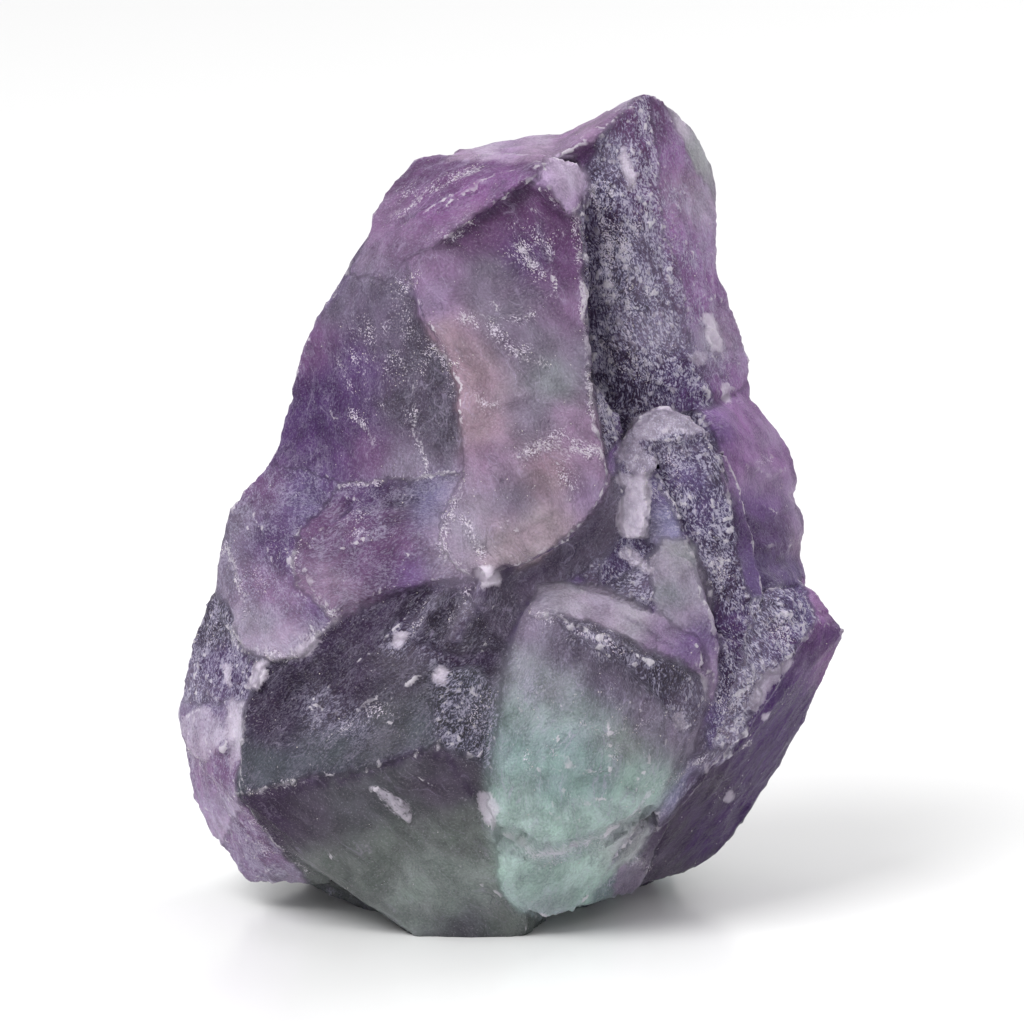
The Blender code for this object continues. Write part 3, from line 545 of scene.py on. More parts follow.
# %% The regions of the green tooth
TOOTH_REGIONS = {
    "tooth": {
        "outline": [(1.6, 21.5), (3.0, 21.9), (5.5, 21.5), (8.6, 20.0), (11.4, 18.2), (12.2, 15.1),
                    (11.1, 11.6), (8.9, 8.2), (5.5, 5.8), (2.0, 4.6), (-0.9, 6.4), (-1.5, 9.2),
                    (-0.8, 14.5), (-0.2, 17.8), (0.9, 20.4)],
        "colours": [("mist", 1.4, 19.0), ("smoke", 4.4, 18.0), ("slate", 3.2, 17.4), ("smoke", 6.6, 17.0),
                    ("slate", 5.6, 15.6), ("sage", 0.8, 16.4), ("sage", 2.6, 15.6), ("smoke", 8.6, 15.8),
                    ("sea mist", 1.2, 14.0), ("sea mist", 4.2, 14.0), ("mist", 8.0, 13.6),
                    ("sea", 0.6, 11.6), ("sea", 3.4, 11.8), ("fern", 6.8, 12.2), ("sea", 5.4, 9.8),
                    ("pale sea", 0.8, 8.6), ("pale sea", 3.4, 7.0), ("sea", 2.4, 9.4),
                    ("pale sea", 7.0, 9.6), ("mist", 10.2, 13.0), ("foam", 0.8, 6.4), ("foam", 3.6, 6.2),
                    ("foam", 6.4, 7.6)],
        "sugar": 0.12, "veil": 0.8, "grain": 8, "level": 0.94,
    },
    "tooth brow": {
        "outline": [(2.4, 20.0), (5.0, 18.8), (7.8, 17.6), (9.8, 17.0), (11.6, 15.8), (11.8, 13.6),
                    (10.4, 12.8), (9.0, 14.4), (8.0, 15.8), (6.4, 17.2), (4.6, 18.4), (3.0, 19.2)],
        "colours": [("slate", 4.0, 19.0), ("smoke", 8.0, 16.8), ("smoke", 9.4, 15.4), ("slate", 10.8, 14.8),
                    ("mist", 10.4, 13.4)],
        "sugar": 0.35, "veil": 0.2, "grain": 0, "level": 0.65,
    },
    "tooth top": {
        "outline": [(1.4, 21.6), (3.0, 22.0), (5.5, 21.7), (8.6, 20.2), (11.6, 18.3), (12.4, 15.1),
                    (11.6, 16.2), (10.0, 17.2), (8.0, 18.0), (5.5, 19.3), (3.0, 20.0), (1.2, 19.6)],
        "colours": [("haze", 1.8, 20.4), ("pearl", 3.6, 21.0), ("pale lilac", 5.2, 20.2),
                    ("pearl", 7.4, 19.6), ("lilac", 9.2, 18.6), ("purple", 10.8, 17.8),
                    ("lilac", 11.6, 16.4)],
        "sugar": 0.12, "veil": 0.5, "grain": 55, "level": 0.8,
    },
    "tooth tip": {
        "outline": [(-0.9, 6.4), (0.6, 5.4), (2.0, 4.6), (5.5, 5.8), (8.9, 8.2), (8.0, 5.4), (5.5, 3.0),
                    (3.9, 1.2), (2.1, 0.8), (0.3, 1.6), (-1.0, 3.8)],
        "colours": [("pale sea", 1.0, 3.4), ("pale sea", 2.6, 3.0), ("foam", 4.2, 5.2),
                    ("sea mist", 1.6, 1.6), ("pale sea", 5.4, 2.8), ("ash", 6.8, 5.6), ("foam", 0.2, 5.6),
                    ("sea mist", 2.4, 1.6)],
        "sugar": 0.08, "veil": 0.4, "grain": 20,
    },
    "dark heel": {
        "outline": [(6.6, 4.4), (8.0, 4.8), (8.4, 3.2), (7.4, 2.2), (6.4, 2.6)],
        "colours": [("mist", 7.4, 3.4), ("haze", 7.8, 4.4)],
        "sugar": 0.2, "veil": 0.2, "grain": 10,
    },
}
REGIONS = {**PEAK_REGIONS, **PLATE_REGIONS, **LEFT_REGIONS, **RIGHT_REGIONS, **TOOTH_REGIONS}
print(len(REGIONS), "regions in all, from", len(PALETTE), "colours")

# %% Pale chips, where a flake lifted and went white, and how white each is
CHIPS = {
    "arch": (0.42, [(6.6, 30.6), (7.6, 32.1), (8.5, 32.8), (9.6, 32.8), (10.8, 32.2), (12.0, 31.0),
                    (9.7, 30.9), (7.8, 30.6), (9.2, 29.4), (8.9, 28.9), (8.0, 28.6), (7.0, 28.8),
                    (6.3, 29.6)]),
    "oval": (0.6, [(6.2, 28.4), (6.7, 28.7), (7.2, 28.6), (7.4, 28.1), (7.0, 27.7), (6.4, 27.8)]),
    "blade": (0.85, [(7.4, 28.7), (8.4, 28.6), (8.5, 26.2), (8.2, 24.8), (6.7, 24.8), (6.4, 25.8),
                     (6.8, 27.2)]),
    "stub": (0.55, [(6.5, 23.6), (6.9, 24.2), (7.5, 24.0), (9.0, 22.5), (8.4, 22.3), (7.2, 23.1)]),
    "flank": (0.36, [(-20.8, 13.2), (-19.5, 14.3), (-18.6, 14.2), (-17.4, 12.6), (-18.2, 11.5),
                     (-19.1, 10.7), (-20.3, 11.2)]),
    "flank fold": (0.35, [(-17.4, 14.8), (-16.4, 14.6), (-16.6, 12.0), (-17.2, 9.4), (-17.6, 12.2)]),
    "bead": (1.0, [(-2.2, 22.5), (-1.8, 23.0), (-1.3, 23.0), (-0.9, 22.4), (-1.0, 21.8), (-1.7, 21.6)]),
    "seam": (0.7, [(-16.4, 15.4), (-15.8, 17.0), (-15.1, 17.3), (-15.2, 16.2), (-15.7, 15.2)]),
    "seam side": (0.6, [(-17.8, 16.8), (-17.2, 16.9), (-17.1, 15.6), (-17.4, 15.2)]),
    "lip flake": (0.5, [(-13.4, 18.0), (-12.0, 18.7), (-11.6, 18.4), (-12.4, 17.4), (-13.2, 17.2)]),
    "nick one": (0.8, [(-5.0, 16.2), (-4.3, 16.9), (-3.8, 16.4), (-4.0, 15.6), (-4.6, 15.9)]),
    "nick two": (0.8, [(-7.4, 18.2), (-7.0, 18.8), (-6.2, 19.0), (-6.6, 18.2), (-7.0, 17.9)]),
    "nick three": (0.7, [(13.0, 8.2), (13.7, 9.2), (14.0, 8.2)]),
    "nick four": (0.5, [(11.8, 11.0), (12.2, 10.6), (12.0, 10.2), (11.8, 10.3)]),
    "nick five": (0.6, [(15.4, 13.9), (15.9, 14.0), (15.8, 13.4), (15.4, 13.5)]),
    "tall chip": (1.0, [(6.5, 49.2), (7.0, 48.6), (7.7, 46.8), (7.5, 46.2), (6.9, 47.0)]),
    "tooth nick": (0.6, [(-2.4, 9.2), (-1.4, 9.2), (-0.6, 8.2), (-1.0, 6.9), (-1.5, 7.2)]),
    "column facet": (1.0, [(11.6, 38.6), (12.4, 38.4), (12.9, 36.4), (12.4, 36.2), (11.9, 37.0)]),
    "column step": (0.4, [(10.6, 35.8), (11.4, 36.4), (12.0, 35.8), (11.4, 35.1)]),
    "shoulder nick": (0.8, [(12.8, 34.2), (13.1, 34.2), (13.6, 33.0), (13.1, 32.9)]),
    "flake": (0.35, [(-8.7, 9.5), (-8.0, 9.2), (-6.6, 8.5), (-6.2, 8.1), (-6.2, 6.9), (-7.2, 7.6),
                     (-7.8, 8.2)]),
    "boss ledge": (0.55, [(15.2, 16.0), (17.0, 17.4), (17.4, 17.0), (15.6, 15.2), (15.0, 13.8),
                          (14.6, 14.6)]),
    "tooth rim": (0.6, [(11.4, 16.8), (12.0, 15.8), (11.9, 14.9), (11.4, 15.6)]),
    "tip edge": (0.4, [(-0.9, 6.9), (0.6, 6.0), (1.8, 5.1), (3.4, 5.5), (5.4, 6.1), (7.4, 8.2), (8.9, 10.2),
                       (7.5, 7.8), (5.4, 5.7), (3.3, 5.1), (1.8, 4.6), (0.5, 5.6)]),
    "brow chip": (0.35, [(9.6, 13.8), (10.4, 14.2), (10.6, 13.2), (9.8, 13.0)]),
}
print(len(CHIPS), "chips")

# %% Crumbly cracks, as lines on the sheet, with their width in millimetres and how pale they are
CRACKS = [
    (0.2, 0.7, [(-2.9, 28.4), (-3.6, 26.6), (-4.1, 25.1)]),
    (0.25, 0.8, [(-4.1, 25.1), (-4.0, 23.4), (-2.6, 22.5)]),
    (0.2, 0.6, [(-3.0, 25.8), (-2.4, 24.8), (-1.8, 23.6)]),
    (0.22, 0.8, [(-7.5, 44.6), (-6.4, 45.2), (-5.4, 45.8), (-3.9, 46.4), (-2.0, 47.2)]),
    (0.12, 0.6, [(-4.1, 42.9), (-3.2, 43.4), (-2.6, 43.9)]),
    (0.25, 1.0, [(0.6, 42.6), (1.0, 42.0), (1.2, 41.4), (1.8, 40.8)]),
    (0.2, 0.6, [(1.2, 45.0), (2.2, 44.4), (2.6, 43.2)]),
    (0.12, 0.7, [(2.2, 42.4), (2.5, 41.2), (2.6, 39.6)]),
    (0.12, 0.5, [(2.6, 45.0), (3.0, 43.8), (3.4, 43.0)]),
    (0.12, 0.8, [(-1.1, 38.9), (-0.4, 38.4), (0.3, 38.1), (0.9, 38.1), (1.5, 38.4)]),
    (0.3, 0.9, [(-2.9, 38.2), (-1.4, 37.9), (-0.9, 37.2), (0.2, 36.2), (0.9, 35.8), (2.0, 35.4)]),
    (0.2, 1.0, [(-2.2, 33.3), (-1.7, 32.8), (-1.2, 32.8)]),
    (0.14, 0.5, [(-0.8, 32.8), (0.0, 31.6), (1.1, 30.8), (2.0, 30.2)]),
    (0.45, 0.8, [(0.6, 29.8), (2.0, 30.2), (2.6, 30.6), (3.6, 30.2), (4.8, 30.0), (5.2, 30.6)]),
    (0.5, 0.4, [(1.8, 28.2), (3.0, 28.0), (3.8, 28.2)]),
    (0.12, 0.9, [(-9.7, 32.4), (-9.0, 31.7), (-8.6, 30.8), (-8.9, 29.8)]),
    (0.14, 0.8, [(-6.0, 34.0), (-5.9, 31.6), (-5.6, 30.2), (-5.2, 28.6)]),
    (0.1, 0.5, [(-10.8, 36.0), (-10.4, 34.6), (-9.7, 33.6), (-8.7, 33.2), (-7.9, 32.7), (-7.5, 32.0)]),
    (0.1, 0.4, [(-10.2, 36.4), (-9.4, 34.9), (-8.9, 34.2)]),
    (0.1, 0.9, [(-10.6, 27.8), (-8.2, 28.0), (-6.7, 28.2), (-5.1, 28.4), (-3.6, 28.6)]),
    (0.14, 1.0, [(3.9, 44.8), (4.1, 42.0), (4.3, 39.5), (4.6, 36.0), (4.9, 33.2), (5.1, 31.2)]),
    (0.16, 0.9, [(-17.8, 24.2), (-17.1, 22.6), (-16.8, 21.4), (-16.4, 20.2)]),
    (0.2, 0.8, [(-17.2, 19.2), (-17.4, 18.2), (-16.0, 17.9), (-14.8, 17.3), (-14.0, 17.1), (-13.4, 17.6)]),
    (0.15, 1.0, [(-15.3, 17.5), (-13.7, 17.2), (-12.1, 18.4), (-10.8, 19.7)]),
    (0.18, 0.8, [(-13.1, 25.1), (-13.3, 24.0), (-13.4, 22.9), (-13.0, 21.7), (-12.1, 20.8), (-11.1, 20.0)]),
    (0.14, 0.9, [(-12.9, 18.6), (-12.2, 18.8), (-11.6, 18.8)]),
    (0.14, 0.8, [(-16.2, 8.9), (-14.4, 9.3), (-13.2, 9.9)]),
    (0.12, 0.7, [(-16.6, 8.2), (-15.4, 6.8), (-14.2, 5.2), (-12.6, 4.0)]),
    (0.12, 0.5, [(-20.4, 11.4), (-19.0, 10.2), (-17.6, 8.6)]),
    (0.12, 0.9, [(4.8, 46.4), (5.4, 44.8), (5.9, 43.2), (6.2, 41.8)]),
    (0.12, 0.7, [(5.7, 46.6), (6.2, 45.6), (7.1, 44.4)]),
    (0.1, 0.9, [(5.9, 46.3), (6.6, 44.6), (7.6, 43.4)]),
    (0.1, 0.8, [(5.2, 43.6), (6.0, 41.6), (6.6, 39.4)]),
    (0.12, 0.8, [(7.2, 42.4), (7.8, 40.8), (8.4, 39.4)]),
    (0.12, 0.8, [(5.6, 36.6), (6.4, 35.4), (7.8, 34.6), (9.2, 34.2)]),
    (0.16, 0.6, [(6.8, 42.8), (7.2, 41.8), (7.4, 40.6)]),
    (0.25, 0.8, [(6.2, 39.4), (6.8, 38.2), (7.0, 36.8), (7.6, 35.4)]),
    (0.3, 0.45, [(1.6, 19.8), (3.0, 19.6), (4.4, 18.8), (5.6, 18.3), (7.2, 17.4), (8.8, 16.8),
                 (9.9, 16.2)]),
    (0.1, 0.3, [(-0.8, 6.7), (0.5, 5.7), (1.8, 4.6), (3.3, 5.1), (5.2, 5.6), (7.5, 7.9), (9.7, 10.8)]),
    (0.3, 0.5, [(12.0, 11.4), (12.8, 12.8), (13.6, 14.4), (14.4, 15.6)]),
    (0.14, 0.8, [(14.6, 12.0), (12.2, 11.3), (10.8, 10.8), (9.8, 9.8)]),
    (0.2, 0.9, [(7.2, 4.8), (8.0, 4.6), (8.4, 4.2)]),
    (0.5, 0.5, [(-10.6, 12.4), (-9.4, 13.6), (-8.0, 14.4), (-7.4, 14.4)]),
    (0.3, 0.4, [(-13.0, 13.4), (-12.2, 12.8), (-11.6, 13.8)]),
    (0.18, 0.5, [(-2.4, 22.0), (-3.4, 20.2), (-3.9, 18.8)]),
    (0.3, 0.3, [(-5.4, 20.4), (-6.2, 18.8), (-6.8, 17.6)]),
    (0.14, 0.9, [(6.7, 29.2), (7.4, 28.8), (8.0, 28.7)]),
    (0.2, 0.7, [(8.2, 27.6), (9.2, 27.4)]),
    (0.12, 0.6, [(14.2, 29.0), (15.2, 29.4), (16.0, 29.4)]),
    (0.08, 0.5, [(4.2, 13.4), (5.4, 12.6), (7.0, 12.8), (8.6, 13.6)]),
    (0.08, 0.4, [(5.8, 15.0), (6.6, 14.0), (6.8, 12.6), (6.2, 11.2)]),
    (0.06, 0.4, [(2.2, 12.2), (3.0, 11.0), (4.4, 10.4), (6.0, 10.6)]),
    (0.08, 0.4, [(3.2, 9.2), (4.6, 8.4), (6.2, 8.8), (7.4, 9.8)]),
    (0.06, 0.4, [(0.6, 13.4), (1.0, 11.6), (1.0, 9.8)]),
]
print(len(CRACKS), "cracks")

# %% Painted shade in hollows and under lips, as lines with half width in millimetres and how dark they are
PAINTED_SHADES = [
    (0.35, 0.9, [(4.4, 45.4), (4.6, 42.4), (4.8, 39.5), (5.1, 36.0), (5.2, 33.0), (6.4, 31.8)]),
    (0.3, 0.9, [(9.2, 29.4), (10.0, 27.4), (10.6, 25.6)]),
    (0.4, 0.8, [(13.2, 27.2), (13.5, 25.2), (13.6, 22.8)]),
    (0.3, 0.8, [(12.6, 18.2), (13.0, 16.6), (12.8, 14.8)]),
    (0.3, 0.6, [(11.4, 14.2), (10.6, 12.4), (9.4, 9.8)]),
    (0.35, 0.7, [(-16.6, 8.7), (-14.4, 9.0), (-11.6, 9.8), (-10.0, 9.9), (-7.2, 11.0), (-5.6, 11.7),
                 (-4.0, 11.2), (-2.4, 9.0)]),
    (0.25, 0.6, [(-4.2, 22.0), (-5.6, 20.2), (-7.4, 18.8)]),
    (0.25, 0.7, [(-1.4, 21.8), (-2.4, 20.0), (-3.4, 18.4)]),
    (0.2, 0.4, [(6.2, 15.2), (7.0, 14.4), (7.2, 13.2)]),
    (0.2, 0.4, [(6.8, 14.8), (9.2, 14.8), (9.8, 13.6)]),
    (0.25, 0.5, [(0.4, 46.0), (-1.6, 44.6), (-3.8, 43.0)]),
    (0.3, 0.6, [(1.6, 43.6), (2.0, 42.4), (2.1, 41.0)]),
    (0.3, 0.5, [(-12.2, 32.6), (-12.8, 31.2), (-14.6, 29.8)]),
    (0.3, 0.4, [(14.4, 24.8), (16.2, 23.4), (17.8, 23.2)]),
    (0.3, 0.4, [(14.2, 26.0), (16.0, 25.0), (17.6, 24.8)]),
    (0.25, 0.5, [(5.0, 44.6), (6.6, 45.8), (8.6, 45.4)]),
    (0.4, 0.5, [(10.4, 34.2), (11.6, 35.0), (13.0, 34.6)]),
    (0.25, 0.5, [(-8.4, 26.8), (-7.0, 26.8), (-5.8, 26.8)]),
    (0.25, 0.5, [(-8.0, 25.6), (-6.8, 25.6), (-5.9, 25.9)]),
    (0.25, 0.6, [(0.6, 22.1), (3.0, 23.1), (5.0, 25.2), (6.1, 27.4)]),
    (0.3, 0.7, [(-13.4, 16.7), (-11.6, 18.0), (-10.4, 19.1), (-8.4, 20.3), (-5.6, 21.3)]),
    (0.2, 0.5, [(9.6, 18.2), (8.0, 19.2), (5.6, 20.6)]),
]
print(len(PAINTED_SHADES), "shaded hollows")

# %% Frosted and speckled patches: each one's place across and up, radius and strength
FROST_PATCHES = [
    (-11.5, 14.0, 2.2, 0.22), (-9.4, 13.2, 1.6, 0.22), (-7.0, 18.3, 1.4, 0.28), (-3.6, 16.0, 1.6, 0.1),
    (-3.0, 12.0, 1.4, 0.1), (-5.0, 17.6, 1.2, 0.22), (-19.6, 15.6, 1.4, 0.22), (6.0, 18.0, 1.6, 0.15),
    (4.4, 18.6, 1.2, 0.2), (8.8, 16.0, 1.4, 0.1), (10.0, 13.6, 1.2, 0.1), (12.4, 36.0, 1.6, 0.17),
    (2.0, 41.6, 1.2, 0.11), (-8.6, 25.6, 1.6, 0.11), (-15.6, 21.6, 1.8, 0.11), (1.2, 15.8, 1.4, 0.17),
    (5.6, 46.6, 1.6, 0.3), (6.4, 41.6, 2.2, 0.4), (7.2, 37.6, 2.6, 0.4), (6.2, 33.6, 1.4, 0.3),
    (9.0, 35.4, 2.2, 0.3), (8.2, 40.0, 1.6, 0.1), (9.8, 45.6, 1.4, 0.25), (10.8, 42.0, 1.5, 0.25),
    (11.4, 38.6, 1.4, 0.25),
]
SPECK_PATCHES = [
    (-7.6, 37.0, 3.4, 0.6), (-3.9, 34.4, 1.4, 0.9), (-4.6, 35.6, 2.0, 0.7), (-6.5, 40.4, 1.2, 0.7),
    (-9.4, 25.8, 1.8, 0.4), (3.2, 28.4, 2.0, 0.4), (-18.6, 18.6, 1.8, 0.4), (-3.0, 14.0, 2.2, 0.35),
    (9.8, 14.6, 1.8, 0.25), (6.8, 38.6, 2.6, 0.8), (7.0, 43.4, 2.4, 0.6), (10.6, 29.0, 1.8, 0.7),
    (16.0, 18.6, 1.8, 0.8), (13.2, 22.4, 1.6, 0.6), (-14.8, 22.4, 1.8, 0.4), (1.0, 42.6, 2.4, 0.35),
    (12.8, 15.0, 1.6, 0.6), (5.1, 32.6, 0.8, 1.0), (-8.6, 14.4, 1.6, 0.4), (-15.4, 5.0, 1.4, 0.6),
    (10.4, 43.6, 1.6, 0.4), (13.4, 8.6, 2.0, 0.3), (-4.4, 44.0, 3.0, 0.15), (-6.4, 46.0, 1.6, 0.3),
]
print(len(FROST_PATCHES), "frosted and", len(SPECK_PATCHES), "speckled patches")

# %% [markdown]
# ## Soft joints between plates
# Most plates meet at a sharp step, but a few run into each other without a line. Along those joints the
# packed creases are worn soft here, by letting the points move toward the mean of their neighbours.

# %% The skin with its soft joints
SOFT_JOINTS = [
    (1.3, 1.0, [(-3.0, 29.0), (-4.0, 26.6), (-4.4, 24.6), (-3.2, 22.8), (-1.8, 22.4)]),
    (1.2, 1.0, [(-11.0, 40.6), (-8.6, 41.0), (-6.6, 41.6)]),
    (1.2, 0.9, [(-16.2, 29.6), (-12.4, 28.8), (-10.2, 28.2)]),
    (1.1, 1.0, [(-1.0, 6.8), (0.6, 5.8), (1.8, 4.8), (3.4, 5.2), (5.4, 5.8), (7.6, 8.0), (9.0, 9.8)]),
    (0.7, 0.8, [(-0.4, 17.4), (-0.8, 14.0), (-1.2, 10.0)]),
    (0.9, 0.8, [(8.9, 49.4), (9.1, 46.4), (9.4, 43.2), (10.4, 40.2), (10.8, 37.4), (11.8, 34.4)]),
]
JOINT_ROUNDS = 300
SPREAD_SPEED = 0.7            # how far a point moves toward its neighbours in one round
LEAST_SHARE = 0.01            # points with less share stay out of it


def spread(values, share, rounds):
    """Returns a value spread over the surface only as far as the share allows at each point."""
    busy = np.flatnonzero(share > LEAST_SHARE)
    place = np.full(len(share), -1)
    place[busy] = np.arange(len(busy))
    ends = place[ENDS[(share[ENDS] > LEAST_SHARE).all(axis=1)]]
    count = np.maximum(np.bincount(ends.ravel(), minlength=len(busy)), 1)
    part, speed = values[busy], SPREAD_SPEED * share[busy, None]
    for _ in range(rounds):
        total = np.column_stack([
            np.bincount(ends[:, 0], weights=part[ends[:, 1], column], minlength=len(busy))
            + np.bincount(ends[:, 1], weights=part[ends[:, 0], column], minlength=len(busy))
            for column in range(part.shape[1])])
        part = part + speed * (total / count[:, None] - part)
    result = values.copy()
    result[busy] = part
    return result


def line_cover(lines, drawn, front):
    """Returns how strongly some soft lines, each (half width, strength, places), cover each drawn place."""
    cover = np.zeros(len(drawn))
    for half_width, strength, line in lines:
        cover = np.maximum(cover, strength * front * np.exp(-(gap_to_line(line, drawn) / half_width) ** 2))
    return cover


facing = unit(smoothed(normals, 3)) @ TOWARD_VIEW
front = smoothstep(-0.05, 0.25, facing)
joints = line_cover(SOFT_JOINTS, on_sheet(points), front)
points = spread(points, joints, JOINT_ROUNDS)
write_points(skin_mesh, points)
normals = unit(smoothed(read_normals(skin_mesh), 2))
crest = crest_of(points, normals, 2)
print("softened share of the skin:", round(float((joints > 0.5).mean()), 3))

# %% [markdown]
# ## Flat breaks on the sides and the rear
# The drawing covers the front only. The sides and the rear broke in the same way, along cleavages, so flat
# breaks are cut there by chance, from one fixed seed: a plane leans a little from the surface, and what
# stands above it within its reach is taken off. Where two planes meet they leave a sharp crease, as on the
# real stone.

# %% The flat breaks, as depths in millimetres, and which break each point lies in
BREAKS = 60
BREAK_SEED = 5
BREAK_REACH = (3.0, 7.5)      # the smallest and largest, in millimetres
BREAK_DEPTH = (0.12, 0.42)    # the shallowest and deepest, in millimetres
BREAK_LEAN = 0.22             # how far a plane leans from the surface, as a slope
SAME_SIDE = 0.6               # a plane takes off only faces that turn about its way


def flat_breaks(places, normals, free, ragged):
    """Returns how deep flat breaks cut at each point, and the number of the break that cuts it, or -1."""
    chance = np.random.default_rng(BREAK_SEED)
    depths = np.zeros(len(places))
    owner = np.full(len(places), -1)
    for number, seat in enumerate(chance.choice(np.flatnonzero(free > 0.8), BREAKS)):
        lean = unit(normals[seat:seat + 1] + BREAK_LEAN * chance.normal(size=3))[0]
        reach, deep = chance.uniform(*BREAK_REACH), chance.uniform(*BREAK_DEPTH)
        offset = places - places[seat]
        gap = np.linalg.norm(offset, axis=1) + 0.8 * ragged
        share = normals @ lean
        depth = np.clip(offset @ lean + deep, 0.0, 3.0 * deep)
        depth *= smoothstep(reach, 0.9 * reach, gap) * (share > SAME_SIDE)
        depth *= free
        deeper = depth > depths
        depths[deeper] = depth[deeper]
        owner[deeper] = number
    return depths, owner


free = (1.0 - front) * smoothstep(0.6, 2.2, points[:, 2])
breaks, break_number = flat_breaks(points, normals, free, cloud(points, 1.6, 3, 80))
breaks = smoothed(breaks, 1)
print(BREAKS, "flat breaks, up to", round(float(breaks.max()), 2), "mm deep")

# %% [markdown]
# ## Painting the skin
# Fluorite's colour lies in the crystal and not on it, so the clouds go on round the sides. The front takes
# its regions. The rest takes slanting bands of the same colours, which is how such a stone grows. The
# result is kept as values at the points, which a material can read, and which stay on the surface whatever
# moves it.

# %% Colours as light, and the bands of the sides and the rear
SPOT_SOFTNESS = 1.2           # how softly one spot's colour gives way to the next, in square millimetres
BAND_SLANT = 0.35             # how steeply the bands climb toward the left
BAND_WAVE = 2.6               # and how far they wave up and down, in millimetres
BANDS = [("moss", -2.0), ("sea", 3.0), ("moss", 8.0), ("smoke", 12.0), ("slate", 16.0), ("violet", 20.0),
         ("purple", 25.0), ("lilac", 29.0), ("purple", 33.0), ("plum", 38.0), ("orchid", 43.0),
         ("lilac", 48.0), ("haze", 54.0)]


def linear(code):
    """Returns an sRGB hex colour as linear red, green and blue."""
    parts = np.array([int(code[start:start + 2], 16) / 255 for start in (1, 3, 5)])
    return np.where(parts <= 0.04045, parts / 12.92, ((parts + 0.055) / 1.055) ** 2.4)


def mixed_spots(spots, drawn):
    """Returns at each drawn place the mean of some coloured spots, near spots counting most."""
    total = np.zeros((len(drawn), 3))
    weight = np.zeros(len(drawn))
    for name, across, up in spots:
        gap = (drawn[:, 0] - across) ** 2 + (drawn[:, 1] - up) ** 2
        share = 1.0 / (gap + SPOT_SOFTNESS) ** 2
        total += share[:, None] * linear(PALETTE[name])
        weight += share
    return total / weight[:, None]


def banded(places):
    """Returns the colours of the sides and the rear: slanting bands from the green foot to the lilac peak."""
    height = places[:, 2] + BAND_SLANT * places[:, 0] + BAND_WAVE * cloud(places, 8.0, 3, 31)
    colours = np.array([linear(PALETTE[name]) for name, _ in BANDS])
    stops = [stop for _, stop in BANDS]
    return np.column_stack([np.interp(height, stops, colours[:, part]) for part in range(3)])


# %% The drawn place of each point, so that no border is ruled straight
RAGGED = 0.2                  # how far borders wander, in millimetres, in lumps of 1.4 mm
FRAYED = 0.12                 # how far they fray, in millimetres, in lumps of 0.45 mm

wander = np.column_stack((cloud(points, 1.4, 3, 3), cloud(points, 1.4, 3, 4)))
fray = np.column_stack((cloud(points, 0.45, 2, 5), cloud(points, 0.45, 2, 6)))
drawn = on_sheet(points) + RAGGED * wander + FRAYED * fray
print("borders stray up to", round(float(np.abs(drawn - on_sheet(points)).max()), 2), "mm")

# %% Colour, sugar, veil and grain on the sides and the rear
DARK_CLOUDS = 0.6             # how deep plum the darkest clouds are
BREAK_TONES = (0.7, 1.25)     # the darkest and lightest break, as parts of the band's colour
BREAK_GRITS = [0.0, 0.1, 0.3, 0.8]      # how sugary a break may be
SIDE_GRAIN = 20.0

chance = np.random.default_rng(BREAK_SEED)
break_tones = np.append(chance.uniform(*BREAK_TONES, BREAKS), 1.0)
break_grits = chance.choice(BREAK_GRITS, BREAKS)
paint = banded(points)
dark = DARK_CLOUDS * smoothstep(0.0, 0.5, cloud(points, 6.0, 3, 9))
paint += dark[:, None] * (linear(PALETTE["deep plum"]) - paint)
paint *= break_tones[break_number][:, None]
rough_side = smoothstep(-0.1, 0.45, cloud(points, 5.0, 3, 8))
sugar = np.where(break_number < 0, 0.1 + 0.6 * rough_side, break_grits[break_number])
veil = 0.3 + 0.4 * rough_side
grain = np.full(len(points), SIDE_GRAIN)
print("bands and breaks painted, with", len(BREAK_GRITS), "kinds of grit")

# %% The regions, laid over them on the front
DRIFT = (0.05, 0.0, 0.04)     # how far red, green and blue wander inside a plate
WARM_LIGHT_CAST = (1.0, 1.0, 0.94)       # painted warm light: the stone's colour is warmed as by slightly warm lamps
PAINT_ROUNDS = 60
UNDERCUT = -0.5               # how far below a ledge's edge the paint of its face still runs, as a facing

for region in REGIONS.values():
    within = inside(region["outline"], drawn) & (front > 0.0)
    share = front[within]
    tint = region.get("level", 1.0) * mixed_spots(region["colours"], drawn[within])
    paint[within] += share[:, None] * (tint - paint[within])
    sugar[within] += share * (region["sugar"] - sugar[within])
    veil[within] += share * (region["veil"] - veil[within])
    grain[within] = region["grain"]
paint = smoothed(paint, 2)
paint = spread(paint, line_cover(SOFT_JOINTS, drawn, facing > UNDERCUT), PAINT_ROUNDS)
# painted warm light over the whole stone, and a little drift of the colour inside each plate
paint *= WARM_LIGHT_CAST * (1.0 + wander[:, :1] * DRIFT)
for across, up, radius, share in FROST_PATCHES:
    sugar += share * front * smoothstep(1.0, 0.3, np.hypot(drawn[:, 0] - across, drawn[:, 1] - up) / radius)
sugar = smoothed(np.minimum(sugar, 1.0), 6)
veil = smoothed(veil, 8)
print("sugary share of the skin:", round(float((sugar > 0.5).mean()), 2))

# %% Chips, painted shade in hollows, and cracks
CRACK_HALO = 0.1              # how far a crack's pale edge reaches past its drawn width, in millimetres

chips = np.zeros(len(points))
for white, outline in CHIPS.values():
    chips[inside(outline, drawn) & (facing > UNDERCUT)] = white
chips = smoothed(chips, 2)
broken = smoothstep(-0.5, 0.2, cloud(points, 0.8, 3, 44))
# painted shade: each line lays ink over the colour along a hollow or under a lip, broken up by a cloud
for width, deep, line in PAINTED_SHADES:
    share = deep * front * broken * np.exp(-(gap_to_line(line, drawn) / width) ** 2)
    paint += share[:, None] * (linear(PALETTE["ink"]) - paint)
pale = line_cover([(width + CRACK_HALO, white, line) for width, white, line in CRACKS], drawn, front)
print("chipped share of the skin:", round(float((chips > 0.3).mean()), 3))

# %% The grain of each region, as places turned to run along it
BEND = 0.5                    # how far the grain bends, in millimetres

